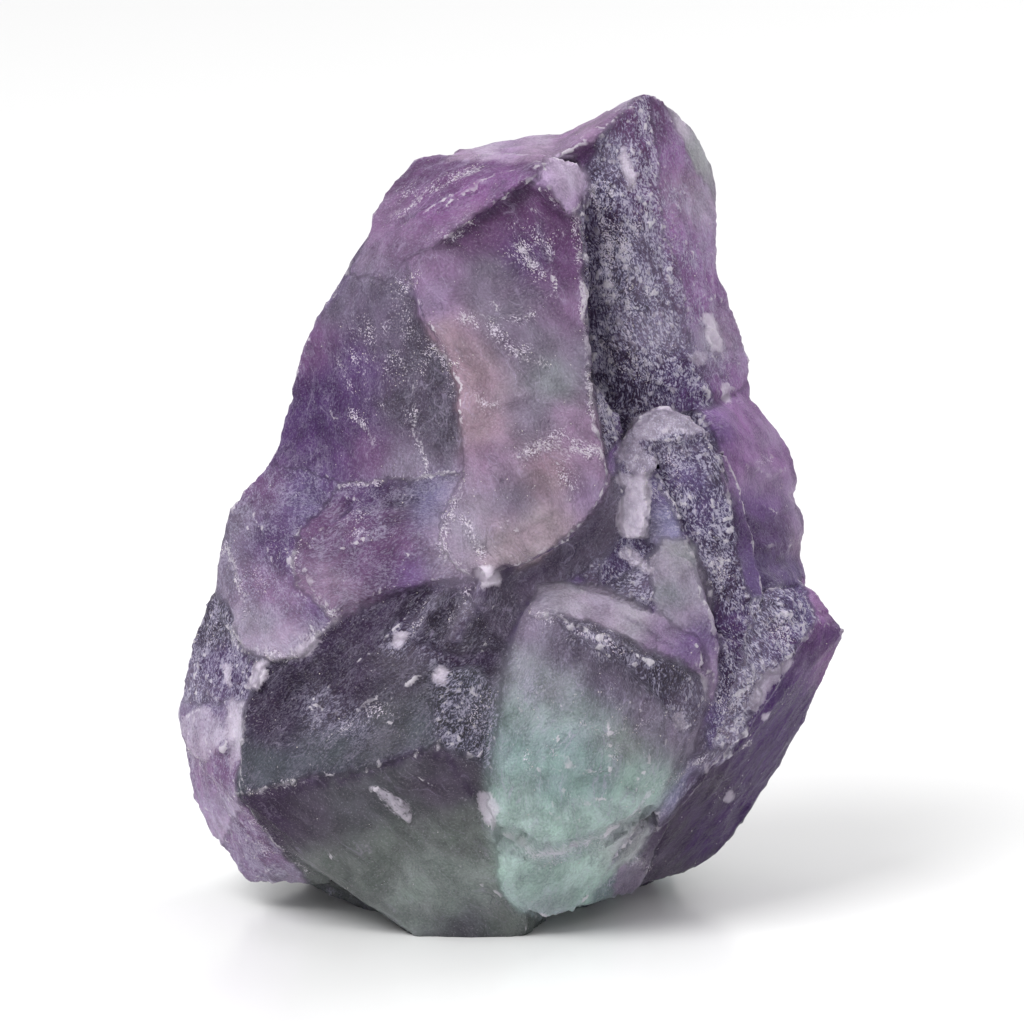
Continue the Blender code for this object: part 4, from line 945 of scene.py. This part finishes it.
turn = np.radians(grain)
bend = BEND * np.column_stack((cloud(points, 3.0, 2, 50), cloud(points, 3.0, 2, 51)))
across_grain = points[:, 0] * np.cos(turn) - points[:, 2] * np.sin(turn) + bend[:, 0]
along_grain = points[:, 0] * np.sin(turn) + points[:, 2] * np.cos(turn) + bend[:, 1]
grain_place = np.column_stack((across_grain, along_grain, points[:, 1]))
print("grain runs from", grain.min(), "to", grain.max(), "degrees")


def grained_cloud(shortening, size, octaves, seed):
    """Returns a cloud with lumps along the grain, which a shortening of 0.5 makes twice as long as wide."""
    return cloud(grain_place * (1.0, shortening, 1.0), size, octaves, seed)


# %% [markdown]
# ## Where the crumbs lie
# Along a crack, on a chipped edge and in a sugary hollow the crystal is crushed to pale crumbs. How thick
# they lie is a value at each point, from 0 to 1, made here from the drawn cracks, the patches, the edges
# and chance.

# %% How thick the crumbs lie
EDGE_CREST = (0.006, 0.03)    # how far an edge's points stand over their neighbours, in millimetres
STRAY = 0.004                 # crumbs that lie anywhere
ON_SUGAR = 0.2
ON_EDGES = 0.3
IN_CRACKS = 1.1

edge = smoothed(smoothstep(*EDGE_CREST, crest), 1)
patchy = smoothstep(-0.3, 0.5, grained_cloud(0.45, 1.1, 4, 40))
patchy *= 0.3 + 0.7 * smoothstep(-0.2, 0.4, grained_cloud(0.6, 0.4, 2, 42))
clotted = smoothstep(0.1, 0.6, cloud(points, 2.2, 2, 41))
crumbs = STRAY + ON_SUGAR * sugar * patchy + ON_EDGES * edge * clotted + IN_CRACKS * pale * patchy
for across, up, radius, share in SPECK_PATCHES:
    gap = np.hypot(drawn[:, 0] - across, drawn[:, 1] - up)
    crumbs += share * front * patchy * smoothstep(1.1, 0.0, gap / radius)
crumbs = np.clip(crumbs, 0.0, 1.0) * smoothstep(0.2, 0.8, points[:, 2])
print("mean crumb cover:", round(float(crumbs.mean()), 3))

# %% [markdown]
# ## The relief
# A cleavage plate is never quite flat. It swells a little, it carries faint curved ripples from the blow
# that broke it, and it steps down in thin sheets. A sugary break is covered with small crystal corners. The
# sharp edges have lost small shell-shaped chips. Each is a height in millimetres, added along the normal.

# %% Small cleavage steps, as lines on the sheet: how high the left side stands over the right, in millimetres
LEDGES = [
    (0.22, [(-10.4, 9.8), (-7.9, 8.9), (-5.8, 6.4), (-2.6, 3.9), (0.5, 1.7)]),
    (0.2, [(-13.9, 8.9), (-11.4, 5.8), (-10.4, 3.3)]),
    (0.2, [(-7.0, 10.8), (-2.6, 8.3), (-0.8, 5.1)]),
    (0.25, [(-13.3, 14.5), (-10.1, 13.6), (-7.0, 15.1)]),
    (0.2, [(-11.4, 12.0), (-5.8, 13.6)]),
    (0.16, [(-2.6, 20.8), (-4.5, 17.6), (-7.0, 15.1)]),
    (0.25, [(-5.8, 20.8), (-7.9, 18.3), (-10.1, 16.4)]),
    (0.16, [(-0.4, 20.6), (-2.2, 17.8), (-2.8, 15.6)]),
    (0.15, [(-1.4, 42.0), (1.8, 40.8), (3.9, 39.5)]),
    (0.1, [(-1.4, 32.0), (1.1, 33.3), (4.9, 33.6)]),
    (0.15, [(-2.6, 27.0), (0.5, 25.1), (3.6, 27.0)]),
    (0.14, [(-10.1, 39.5), (-8.9, 35.8), (-7.0, 33.3), (-6.1, 30.8)]),
    (0.14, [(-13.3, 33.3), (-10.8, 32.0), (-7.0, 30.8), (-3.9, 30.1)]),
    (0.2, [(-11.4, 27.0), (-7.0, 26.7), (-4.5, 27.0)]),
    (0.16, [(-12.6, 23.3), (-9.5, 24.2), (-5.1, 23.3)]),
    (0.25, [(-17.9, 24.5), (-16.7, 22.0), (-15.8, 19.5)]),
    (0.2, [(-16.4, 27.0), (-14.8, 23.3), (-13.3, 20.8)]),
    (0.2, [(0.5, 18.3), (0.2, 13.3), (-0.4, 8.9)]),
    (0.16, [(3.0, 14.5), (2.7, 10.8), (2.1, 7.0)]),
    (0.2, [(5.5, 14.5), (5.8, 10.8), (4.9, 7.0)]),
    (0.25, [(8.6, 14.5), (8.0, 10.8), (6.4, 7.6)]),
    (0.12, [(0.5, 14.5), (5.5, 15.1), (9.3, 13.3)]),
    (0.18, [(4.2, 13.4), (5.4, 12.6), (7.0, 12.8), (8.6, 13.6)]),
    (0.16, [(6.2, 11.2), (6.8, 12.6), (6.6, 14.0), (5.8, 15.2)]),
    (0.16, [(1.8, 12.4), (3.0, 11.0), (4.4, 10.4), (6.0, 10.6)]),
    (0.16, [(3.0, 9.4), (4.6, 8.4), (6.2, 8.8), (7.6, 10.0)]),
    (0.14, [(0.8, 17.4), (1.6, 15.6), (1.8, 13.4)]),
    (0.14, [(3.4, 17.4), (3.8, 15.6), (3.6, 14.0)]),
    (0.14, [(7.2, 15.6), (7.0, 13.2), (7.6, 11.0)]),
    (0.14, [(8.8, 13.4), (9.2, 11.6), (8.6, 9.6)]),
    (0.12, [(0.2, 11.8), (1.6, 10.2), (3.6, 9.6)]),
    (0.12, [(1.2, 8.6), (2.8, 7.4), (4.8, 7.0)]),
    (0.2, [(-8.3, 43.9), (-4.5, 44.8), (0.5, 47.0)]),
    (0.16, [(-7.0, 47.0), (-3.3, 46.1)]),
    (0.3, [(5.5, 45.8), (6.8, 42.0), (7.1, 37.6), (8.6, 33.9)]),
    (0.25, [(8.0, 47.0), (9.3, 43.3), (9.6, 39.5)]),
    (0.3, [(11.1, 38.3), (12.7, 36.7), (14.3, 36.4)]),
    (0.25, [(9.9, 33.9), (12.4, 33.3), (14.6, 34.2)]),
    (0.25, [(13.0, 30.1), (15.5, 28.3), (17.7, 28.9)]),
    (0.25, [(13.9, 27.0), (16.1, 26.1), (18.0, 26.7)]),
    (0.25, [(14.3, 24.2), (16.4, 23.9), (18.0, 24.5)]),
    (0.16, [(11.8, 8.9), (15.5, 13.3), (18.6, 17.6)]),
    (0.25, [(-20.1, 15.1), (-17.6, 14.5), (-16.7, 10.8)]),
    (0.25, [(-19.5, 10.8), (-17.0, 8.3), (-15.8, 5.1)]),
    (0.35, [(14.3, 18.3), (15.5, 19.5), (18.0, 19.8)]),
    (0.35, [(13.9, 14.5), (15.2, 16.4), (17.1, 17.6)]),
]
LEDGE_REACH = 2.0             # how far a step's tread runs back before it is level again
RISER = 0.16                  # half the width of a step's riser, in millimetres
LEDGE_FADE = 1.5              # how far from its ends a step reaches its full height


def ledge(line, drawn):
    """Returns a step along a line: 1 at the top of its left side, falling back to 0, and 0 on its right."""
    gaps = np.full(len(drawn), np.inf)
    left = np.zeros(len(drawn))
    for start, end in zip(line, line[1:]):
        start, run = np.array(start), np.array(end) - np.array(start)
        share = np.clip((drawn - start) @ run / (run @ run), 0.0, 1.0)
        offset = drawn - start - share[:, None] * run
        gap = np.linalg.norm(offset, axis=1)
        nearer = gap < gaps
        left[nearer] = np.sign(run[0] * offset[nearer, 1] - run[1] * offset[nearer, 0])
        gaps[nearer] = gap[nearer]
    tips = np.minimum(np.linalg.norm(drawn - np.array(line[0]), axis=1),
                      np.linalg.norm(drawn - np.array(line[-1]), axis=1))
    rise = smoothstep(-RISER, RISER, left * gaps)
    return rise * np.exp(-gaps / LEDGE_REACH) * smoothstep(0.0, LEDGE_FADE, tips)


# small lumps: each one's place across and up, radius and height
LUMPS = [(-1.5, 22.5, 0.9, 0.28), (2.4, 20.9, 0.9, 0.15), (-4.4, 16.2, 0.7, 0.15)]

steps = np.zeros(len(points))
for across, up, radius, height in LUMPS:
    steps += height * smoothstep(1.0, 0.2, np.hypot(drawn[:, 0] - across, drawn[:, 1] - up) / radius)
for height, line in LEDGES:
    steps += height * ledge(line, drawn)
steps *= front
print(len(LEDGES), "steps, up to", round(float(steps.max()), 2), "mm high")

# %% Heights in millimetres
SWELL = 0.16                  # broad swellings, 5 mm across
SHEET = 0.16                  # thin cleavage sheets, one every 2.4 mm
SUGAR = 0.2                   # crystal corners on the sugary breaks
RIB = 0.12                    # ripples along the grain
CHIPPED = 0.42                # what sharp edges have lost in chips of about 1 mm
NICKED = 0.22                 # and in nicks of about 0.5 mm
RAISED = 0.06                 # how far cracks and white chips stand up


def sheets(places, direction, size, seed):
    """Returns thin terraces across a direction, from 0 to 1, with soft treads and steep risers."""
    along = places @ unit(np.array([direction]))[0] / size + 1.1 * cloud(places, 4.5, 3, seed)
    part = along - np.floor(along)
    return smoothstep(0.72, 1.0, part) - part


swell = SWELL * cloud(points, 5.0, 3, 1)
terrace = SHEET * sheets(points, (0.3, -0.2, 1.0), 2.4, 12) * smoothstep(-0.1, 0.4, cloud(points, 7.0, 2, 14))
lumps = np.abs(cloud(points, 0.7, 3, 20))
grit = SUGAR * (2.2 * lumps - 0.6) * sugar
ribs = RIB * grained_cloud(0.3, 0.7, 3, 61) * (0.25 + np.maximum(sugar, 0.8 * veil))
bite = CHIPPED * smoothed(edge, 6) * smoothstep(-0.05, 0.5, cloud(points, 1.1, 3, 25))
nick = NICKED * smoothed(edge, 2) * smoothstep(0.0, 0.4, cloud(points, 0.5, 2, 26))
height = swell + steps + terrace * (1.0 - 0.6 * sugar) + grit + ribs - bite - nick - breaks
height += RAISED * (pale + chips * lumps)

moved = points + normals * height[:, None]
foot_points = points[:, 2] < 0.6 * SKIN_VOXEL / MM
moved[foot_points, 2] = 0.0
moved[:, 2] = np.maximum(moved[:, 2], 0.0)
write_points(skin_mesh, moved)
print("relief from", round(float(height.min()), 2), "to", round(float(height.max()), 2), "mm")

# %% Values at the points, for the material and the crumbs
def add_value(mesh, name, values):
    """Stores one number at each point of a mesh."""
    mesh.attributes.new(name, "FLOAT", "POINT").data.foreach_set("value", values.astype(np.float32))


def add_colour(mesh, name, values):
    """Stores one colour at each point of a mesh."""
    opaque = np.column_stack((values, np.ones(len(values)))).astype(np.float32)
    mesh.attributes.new(name, "FLOAT_COLOR", "POINT").data.foreach_set("color", opaque.ravel())


def add_place(mesh, name, values):
    """Stores one place at each point of a mesh."""
    places = values.astype(np.float32).ravel()
    mesh.attributes.new(name, "FLOAT_VECTOR", "POINT").data.foreach_set("vector", places)


# painted highlight along the convex rims and thin edges, which catch the light; the pale cracks join it below
rim_light_and_cracks = smoothstep(0.01, 0.04, crest_of(moved, unit(smoothed(read_normals(skin_mesh), 1)), 1))
rim_light_and_cracks *= smoothstep(0.1, 0.7, moved[:, 2])
clots = smoothstep(-0.35, 0.25, grained_cloud(0.5, 0.8, 3, 71))
clots *= 0.5 + 0.5 * smoothstep(-0.35, 0.3, grained_cloud(0.5, 2.6, 2, 72))
kept_values = {
    "sugar": sugar,
    "veil": veil,
    "chips": chips,
    "rim_light_and_cracks": np.maximum(rim_light_and_cracks, 0.5 * pale ** 0.7),
    "crumbs": crumbs,
    "clouds": smoothstep(-0.5, 0.5, grained_cloud(0.6, 1.1, 4, 70)),
    "clots": clots,
    "veins": grained_cloud(0.18, 0.8, 3, 73),
}
add_colour(skin_mesh, "stone_colour", paint)
for name, values in kept_values.items():
    add_value(skin_mesh, name, values)
add_place(skin_mesh, "grain_place", grain_place)
print("values kept:", list(kept_values))

# %% [markdown]
# ## Thinning the skin
# The skin has more faces than a reusable part should. The Decimate modifier takes them from flat places
# first and carries the values along. A vertex group tells it to be gentler with the front, where the
# drawing is finest.

# %% The thinned stone
STONE_TRIANGLES = 190_000
KEEP_REAR = 0.4               # how hard the rear is spared, and the front
KEEP_FRONT = 0.9


def thinned(mesh, keep, triangles, name):
    """Returns a mesh collapsed to a number of triangles, sparing the points that keep names."""
    item = new_object(name, mesh)
    group = item.vertex_groups.new(name="keep")
    for level in np.unique(keep):
        group.add(np.flatnonzero(keep == level).tolist(), float(level), "REPLACE")
    thin = item.modifiers.new("thin", "DECIMATE")
    thin.ratio = triangles / sum(len(face.vertices) - 2 for face in mesh.polygons)
    thin.vertex_group = group.name
    thin.invert_vertex_group = True
    thin.vertex_group_factor = 1.0
    thin.use_collapse_triangulate = True
    return evaluated_mesh(item, name)


keep = np.round(KEEP_REAR + (KEEP_FRONT - KEEP_REAR) * front, 1)
stone_mesh = thinned(skin_mesh, keep, STONE_TRIANGLES, "stone")
print("stone:", len(stone_mesh.vertices), "points,", len(stone_mesh.polygons), "faces")

# %% [markdown]
# ## The stone's finish
# Fluorite is a soft clear salt with a low index, 1.434. Clouds inside it scatter light, so it glows softly,
# its thin edges turn pale and only the smooth plates shine. One Principled shader holds this: scattering
# under the surface, some plain see-through with absorption, and colour, roughness and bump from the kept
# values. The colour also carries a painted highlight on the convex rims and painted shade in the hollows.

# %% A node helper
def add_node(tree, kind, inputs, output=0, **settings):
    """Adds a node, sets its properties, gives each input its value or its link, and returns one output."""
    node = tree.nodes.new(kind)
    for name, value in settings.items():
        setattr(node, name, value)
    for socket, value in inputs.items():
        if isinstance(value, bpy.types.NodeSocket):
            tree.links.new(value, node.inputs[socket])
        else:
            node.inputs[socket].default_value = value
    return node.outputs[output] if node.outputs else None


def rgba(code):
    """Returns an sRGB hex colour as a linear colour for a socket."""
    return (*linear(code), 1.0)


# %% Patterns on the stone
def grains(tree, place, across, along, low, high, curl=0.0):
    """Returns noise with lumps so many millimetres across and along the grain, stretched from low to high."""
    sized = add_node(tree, "ShaderNodeMapping",
                     {"Vector": place, "Scale": (1 / across, 1 / along, 1 / across)})
    lumps = add_node(tree, "ShaderNodeTexNoise",
                     {"Vector": sized, "Scale": 1.0, "Detail": 1.0, "Distortion": curl})
    return add_node(tree, "ShaderNodeMapRange", {"Value": lumps, "From Min": low, "From Max": high})


def threads(tree, value, level, width, most):
    """Returns thin lines where a value passes a level: most on the line, and 0 from its width on."""
    gap = add_node(tree, "ShaderNodeMath", {0: value, 1: level}, operation="SUBTRACT")
    gap = add_node(tree, "ShaderNodeMath", {0: gap}, operation="ABSOLUTE")
    return add_node(tree, "ShaderNodeMapRange",
                    {"Value": gap, "From Min": width, "From Max": 0.0, "To Max": most})


def frayed(tree, pattern, amount, value, low, high, most=1.0):
    """Returns a share from 0 to most, where a value and some of a pattern together pass from low to high."""
    total = add_node(tree, "ShaderNodeMath", {0: pattern, 1: amount, 2: value}, operation="MULTIPLY_ADD")
    return add_node(tree, "ShaderNodeMapRange",
                    {"Value": total, "From Min": low, "From Max": high, "To Max": most})


# %% The layers of the stone's surface, from the deepest to the outermost
FROST_HIGHLIGHT_TINT = "#D3CCDC"
FROST_SHADE = "#8D8BB5"
VEIL_TINT = "#B4A6C4"
RIM_LIGHT_AND_CRACK_TINT = "#CFC9D2"
CHIP_TINT = "#E0D5E6"
PIT_TINT = "#2E2338"


def stone_layers(tree, kept, place, mottle):
    """Returns each layer's pattern, the values that it is multiplied by, and its colour."""
    sugar, clots, crumbs, chips = kept["sugar"], kept["clots"], kept["crumbs"], kept["chips"]
    # curled crystal corners, 0.11 by 0.24 mm, and dust, 0.09 by 0.12 mm, the finest that shows
    strokes = grains(tree, place, 0.11, 0.24, 0.0, 1.0, 0.9)
    dust = grains(tree, place, 0.09, 0.12, 0.0, 1.0)
    pits = add_node(tree, "ShaderNodeMapRange",
                    {"Value": dust, "From Min": 0.4, "From Max": 0.32, "To Max": 0.8})
    cover = add_node(tree, "ShaderNodeMapRange",
                     {"Value": crumbs, "From Max": 0.3, "To Min": 0.1, "To Max": 0.7})
    uneven = add_node(tree, "ShaderNodeMapRange", {"Value": kept["clouds"], "To Min": 0.7})
    return [
        # whitish veils in the crystal, and dark hairline cracks
        (threads(tree, kept["veins"], 0.0, 0.07, 0.5), (kept["veil"], clots), VEIL_TINT),
        (threads(tree, kept["veins"], 0.24, 0.045, 0.4), (clots,), PIT_TINT),
        # painted shade and painted highlight on the crystal corners of the sugary breaks, thicker where they
        # lie in clots
        (frayed(tree, clots, 0.16, strokes, 0.46, 0.66, 0.6), (sugar,), FROST_SHADE),
        (frayed(tree, clots, 0.16, strokes, 0.58, 0.72, 0.75), (sugar,), FROST_HIGHLIGHT_TINT),
        # pits and specks of crushed stone, more of them where the crumbs lie
        (pits, (cover,), PIT_TINT),
        (frayed(tree, crumbs, 0.18, dust, 0.63, 0.68), (cover,), CHIP_TINT),
        # a painted highlight on the convex rims, pale crushed cracks, and white chips
        (frayed(tree, mottle, 0.35, kept["rim_light_and_cracks"], 0.52, 0.7, 0.75), (clots,), RIM_LIGHT_AND_CRACK_TINT),
        (frayed(tree, mottle, 0.3, chips, 0.32, 0.44), (chips, uneven), CHIP_TINT),
    ]


# %% The stone's material
MIX_SHARE, MIX_FIRST, MIX_SECOND, MIX_RESULT = 0, 6, 7, 2      # the sockets of a colour mix
FLUORITE_IOR = 1.434
DEPTH_TINT = "#8A6CB4"        # what the clear crystal lets through
DEPTH_DENSITY = 500.0         # how much it swallows on the way, per metre
DULLNESS = 0.06               # a broken, dusty surface mirrors little of what stands round it
GLOW_RADIUS = (1.0, 0.75, 1.0)          # red and blue run further under the surface than green
GLOW_DEPTH = 0.55 * MM
GRAIN_DEPTH = 0.05 * MM


def fluorite_material():
    """Returns the finish of broken fluorite: waxy plates, sugary breaks and a soft inner glow."""
    material = bpy.data.materials.new("fluorite_broken")
    material.use_nodes = True
    tree = material.node_tree
    shader = tree.nodes["Principled BSDF"]
    kept = {name: add_node(tree, "ShaderNodeAttribute", {}, "Fac", attribute_name=name)
            for name in kept_values}
    colour = add_node(tree, "ShaderNodeAttribute", {}, "Color", attribute_name="stone_colour")
    place = add_node(tree, "ShaderNodeAttribute", {}, "Vector", attribute_name="grain_place")

    # mottling of 0.13 by 0.18 mm on every face, and clouds in the crystal: both lighten and darken the paint
    mottle = grains(tree, place, 0.13, 0.18, 0.3, 0.7)
    bright = add_node(tree, "ShaderNodeMath", {0: mottle, 1: 0.26, 2: 0.67}, operation="MULTIPLY_ADD")
    bright = add_node(tree, "ShaderNodeMath", {0: kept["clouds"], 1: 0.34, 2: bright},
                      operation="MULTIPLY_ADD")
    colour = add_node(tree, "ShaderNodeHueSaturation", {"Color": colour, "Value": bright, "Saturation": 1.12})
    for share, values, tint in stone_layers(tree, kept, place, mottle):
        for value in values:
            share = add_node(tree, "ShaderNodeMath", {0: share, 1: value}, operation="MULTIPLY")
        colour = add_node(tree, "ShaderNodeMix",
                          {MIX_SHARE: share, MIX_FIRST: colour, MIX_SECOND: rgba(tint)},
                          MIX_RESULT, data_type="RGBA")
    tree.links.new(colour, shader.inputs["Base Color"])

    rough = add_node(tree, "ShaderNodeMapRange", {"Value": kept["sugar"], "From Min": -0.7, "To Max": 0.6})
    tree.links.new(rough, shader.inputs["Roughness"])
    bump = add_node(tree, "ShaderNodeBump", {"Height": mottle, "Strength": 0.7, "Distance": GRAIN_DEPTH})
    tree.links.new(bump, shader.inputs["Normal"])
    shader.inputs["IOR"].default_value = FLUORITE_IOR
    shader.inputs["Specular IOR Level"].default_value = DULLNESS
    shader.inputs["Transmission Weight"].default_value = 0.15
    shader.inputs["Subsurface Weight"].default_value = 0.25
    shader.inputs["Subsurface Radius"].default_value = GLOW_RADIUS
    shader.inputs["Subsurface Scale"].default_value = GLOW_DEPTH
    depth = add_node(tree, "ShaderNodeVolumeAbsorption",
                     {"Color": rgba(DEPTH_TINT), "Density": DEPTH_DENSITY})
    tree.links.new(depth, tree.nodes["Material Output"].inputs["Volume"])
    return material


stone_mesh.materials.clear()
stone_mesh.materials.append(fluorite_material())
stone_mesh.shade_smooth()
stone = new_object("rough_fluorite", stone_mesh)
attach(stone, "root")
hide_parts(NODE)
print("the stone stands for", NODE)

# %% [markdown]
# ## The crumbs
# The real crumbs are splinters of the same crystal, down to dust. Fluorite cleaves into octahedra, so each
# is an octahedron, 0.04 to 0.11 mm across, which is as coarse as it needs to be to show. Geometry Nodes
# strew them: points are spread by the kept value, and a crumb is put on each with a random turn and size,
# from one fixed seed. Particles would be lost on export; these are a mesh.

# %% A crumb
def crumb_mesh():
    """Returns one small octahedron, 1 mm across."""
    form = bmesh.new()
    for axis in range(3):
        for sign in (-0.5, 0.5):
            place = [0.0, 0.0, 0.0]
            place[axis] = sign * MM
            form.verts.new(place)
    bmesh.ops.convex_hull(form, input=form.verts)
    bmesh.ops.recalc_face_normals(form, faces=form.faces)
    mesh = bpy.data.meshes.new("crumb")
    form.to_mesh(mesh)
    form.free()
    return mesh


CRUSHED_SHADE = "#8E829C"
CRUSHED_TINT = "#DCD5CE"
CRUSHED_PATCH = 0.6 * MM      # how far apart paler and darker crumbs lie


def crumb_material():
    """Returns the finish of the crumbs: crushed fluorite, white because each grain scatters light."""
    material = bpy.data.materials.new("fluorite_crushed")
    material.use_nodes = True
    tree = material.node_tree
    shader = tree.nodes["Principled BSDF"]
    place = add_node(tree, "ShaderNodeTexCoord", {}, "Object")
    lumps = add_node(tree, "ShaderNodeTexNoise",
                     {"Vector": place, "Scale": 1.0 / CRUSHED_PATCH, "Detail": 3.0})
    share = add_node(tree, "ShaderNodeMapRange", {"Value": lumps, "From Min": 0.3, "From Max": 0.7})
    colour = add_node(tree, "ShaderNodeMix",
                      {MIX_SHARE: share, MIX_FIRST: rgba(CRUSHED_SHADE), MIX_SECOND: rgba(CRUSHED_TINT)},
                      MIX_RESULT, data_type="RGBA")
    tree.links.new(colour, shader.inputs["Base Color"])
    shader.inputs["Roughness"].default_value = 0.45
    shader.inputs["IOR"].default_value = FLUORITE_IOR
    return material


# %% Strewing the crumbs
MOST_CRUMBS = 36.0            # crumbs on a square millimetre where they lie thickest
CRUMB_SIZES = (0.04, 0.11)    # smallest and largest crumb, in millimetres
CRUMB_SEED = 7


def crumb_tree(crumb, material):
    """Returns the node tree that strews crumbs over a surface."""
    tree = bpy.data.node_groups.new("strewn_crumbs", "GeometryNodeTree")
    face = tree.interface
    face.new_socket("Geometry", in_out="INPUT", socket_type="NodeSocketGeometry")
    for name in ("Most crumbs", "Smallest", "Largest"):
        face.new_socket(name, in_out="INPUT", socket_type="NodeSocketFloat")
    face.new_socket("Geometry", in_out="OUTPUT", socket_type="NodeSocketGeometry")
    given = tree.nodes.new("NodeGroupInput").outputs
    cover = add_node(tree, "GeometryNodeInputNamedAttribute", {"Name": "crumbs"}, "Attribute",
                     data_type="FLOAT")
    density = add_node(tree, "ShaderNodeMath", {0: cover, 1: given["Most crumbs"]}, operation="MULTIPLY")
    spots = add_node(tree, "GeometryNodeDistributePointsOnFaces",
                     {"Mesh": given["Geometry"], "Density": density, "Seed": CRUMB_SEED}, "Points")
    size = add_node(tree, "FunctionNodeRandomValue", {2: given["Smallest"], 3: given["Largest"]}, 1,
                    data_type="FLOAT")
    turned = add_node(tree, "FunctionNodeRandomValue", {1: (math.tau, math.tau, math.tau)},
                      data_type="FLOAT_VECTOR")
    form = add_node(tree, "GeometryNodeObjectInfo", {"Object": crumb}, "Geometry")
    strewn = add_node(tree, "GeometryNodeInstanceOnPoints",
                      {"Points": spots, "Instance": form, "Rotation": turned, "Scale": size})
    real = add_node(tree, "GeometryNodeRealizeInstances", {"Geometry": strewn})
    dressed = add_node(tree, "GeometryNodeSetMaterial", {"Geometry": real, "Material": material})
    add_node(tree, "NodeGroupOutput", {"Geometry": dressed})
    return tree


crumb = new_object("crumb", crumb_mesh())
bed = new_object("crumb_bed", skin_mesh)
strew = bed.modifiers.new("strew", "NODES")
strew.node_group = crumb_tree(crumb, crumb_material())
sockets = {item.name: item.identifier for item in strew.node_group.interface.items_tree
           if item.in_out == "INPUT"}
strew[sockets["Most crumbs"]] = MOST_CRUMBS / MM ** 2
strew[sockets["Smallest"]], strew[sockets["Largest"]] = CRUMB_SIZES
crumbs_mesh = evaluated_mesh(bed, "crumbs")
bpy.data.objects.remove(crumb)
loose_crumbs = new_object("fluorite_crumbs", crumbs_mesh)
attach(loose_crumbs, "root")
print("crumbs:", len(crumbs_mesh.vertices) // 6, "with", len(crumbs_mesh.polygons), "faces")

# %% [markdown]
# ## Floor, lights and camera
# A pale floor and large soft lights show the stone as a product table would. The sky is an even soft white
# that fills the hollows, one broad lamp over the left shoulder gives the plates their order, and the camera
# stands far off with a long lens, so that the stone keeps its proportions.

# %% Floor
FLOOR_SIDE = 6.0


def table_material():
    """Returns a smooth white laminate, which gives a pale even ground with a faint sheen."""
    material = bpy.data.materials.new("white_laminate")
    material.use_nodes = True
    shader = material.node_tree.nodes["Principled BSDF"]
    shader.inputs["Base Color"].default_value = rgba("#FAFAFA")
    shader.inputs["Roughness"].default_value = 0.2
    return material


form = bmesh.new()
bmesh.ops.create_grid(form, x_segments=1, y_segments=1, size=FLOOR_SIDE / 2)
floor_mesh = bpy.data.meshes.new("floor")
form.to_mesh(floor_mesh)
form.free()
floor_mesh.materials.append(table_material())
floor = new_object("floor", floor_mesh)

# %% Lights
MIDDLE = (0.0, 0.0, 25 * MM)
SKY_STRENGTH = 0.68


def soft_light(name, place, side, power):
    """Adds a square lamp that shines at the stone's middle."""
    lamp = bpy.data.lights.new(name, "AREA")
    lamp.size = side
    lamp.energy = power
    item = new_object(name, lamp)
    item.location = place
    item.rotation_euler = (Vector(MIDDLE) - Vector(place)).to_track_quat("-Z", "Y").to_euler()
    return item


soft_light("key_light", (-0.25, -0.25, 0.45), 0.3, 2.6)
soft_light("back_light", (0.3, 0.3, 0.4), 0.3, 1.2)
world = bpy.data.worlds.new("studio")
bpy.context.scene.world = world
world.use_nodes = True
world.node_tree.nodes["Background"].inputs["Color"].default_value = (1.0, 1.0, 1.0, 1.0)
world.node_tree.nodes["Background"].inputs["Strength"].default_value = SKY_STRENGTH
bpy.context.scene.view_settings.view_transform = "Standard"

# %% Camera
LENS = 400.0
SENSOR = 36.0
FRAME_SPAN = 64.0 * MM        # what the frame shows across, at the stone
CENTRE_UP = 26.25 * MM        # the frame's middle, up the elevation
SHEET_DEPTH = 8.0 * MM        # how far the stone's middle lies behind the elevation
DISTANCE = LENS / SENSOR * FRAME_SPAN

camera_data = bpy.data.cameras.new("camera")
camera_data.lens = LENS
camera_data.sensor_width = SENSOR
camera = new_object("camera", camera_data)
toward_view = Vector(TOWARD_VIEW)
sheet_up = Vector((0.0, math.sin(SHEET_TILT), math.cos(SHEET_TILT)))
aim = Vector((0.0, FOOT_FRONT * MM, 0.0)) + sheet_up * CENTRE_UP - toward_view * SHEET_DEPTH
camera.location = aim + toward_view * DISTANCE
camera.rotation_euler = (math.pi / 2 - SHEET_TILT, 0.0, 0.0)
bpy.context.scene.camera = camera
print("the camera stands", round(DISTANCE, 3), "m away")
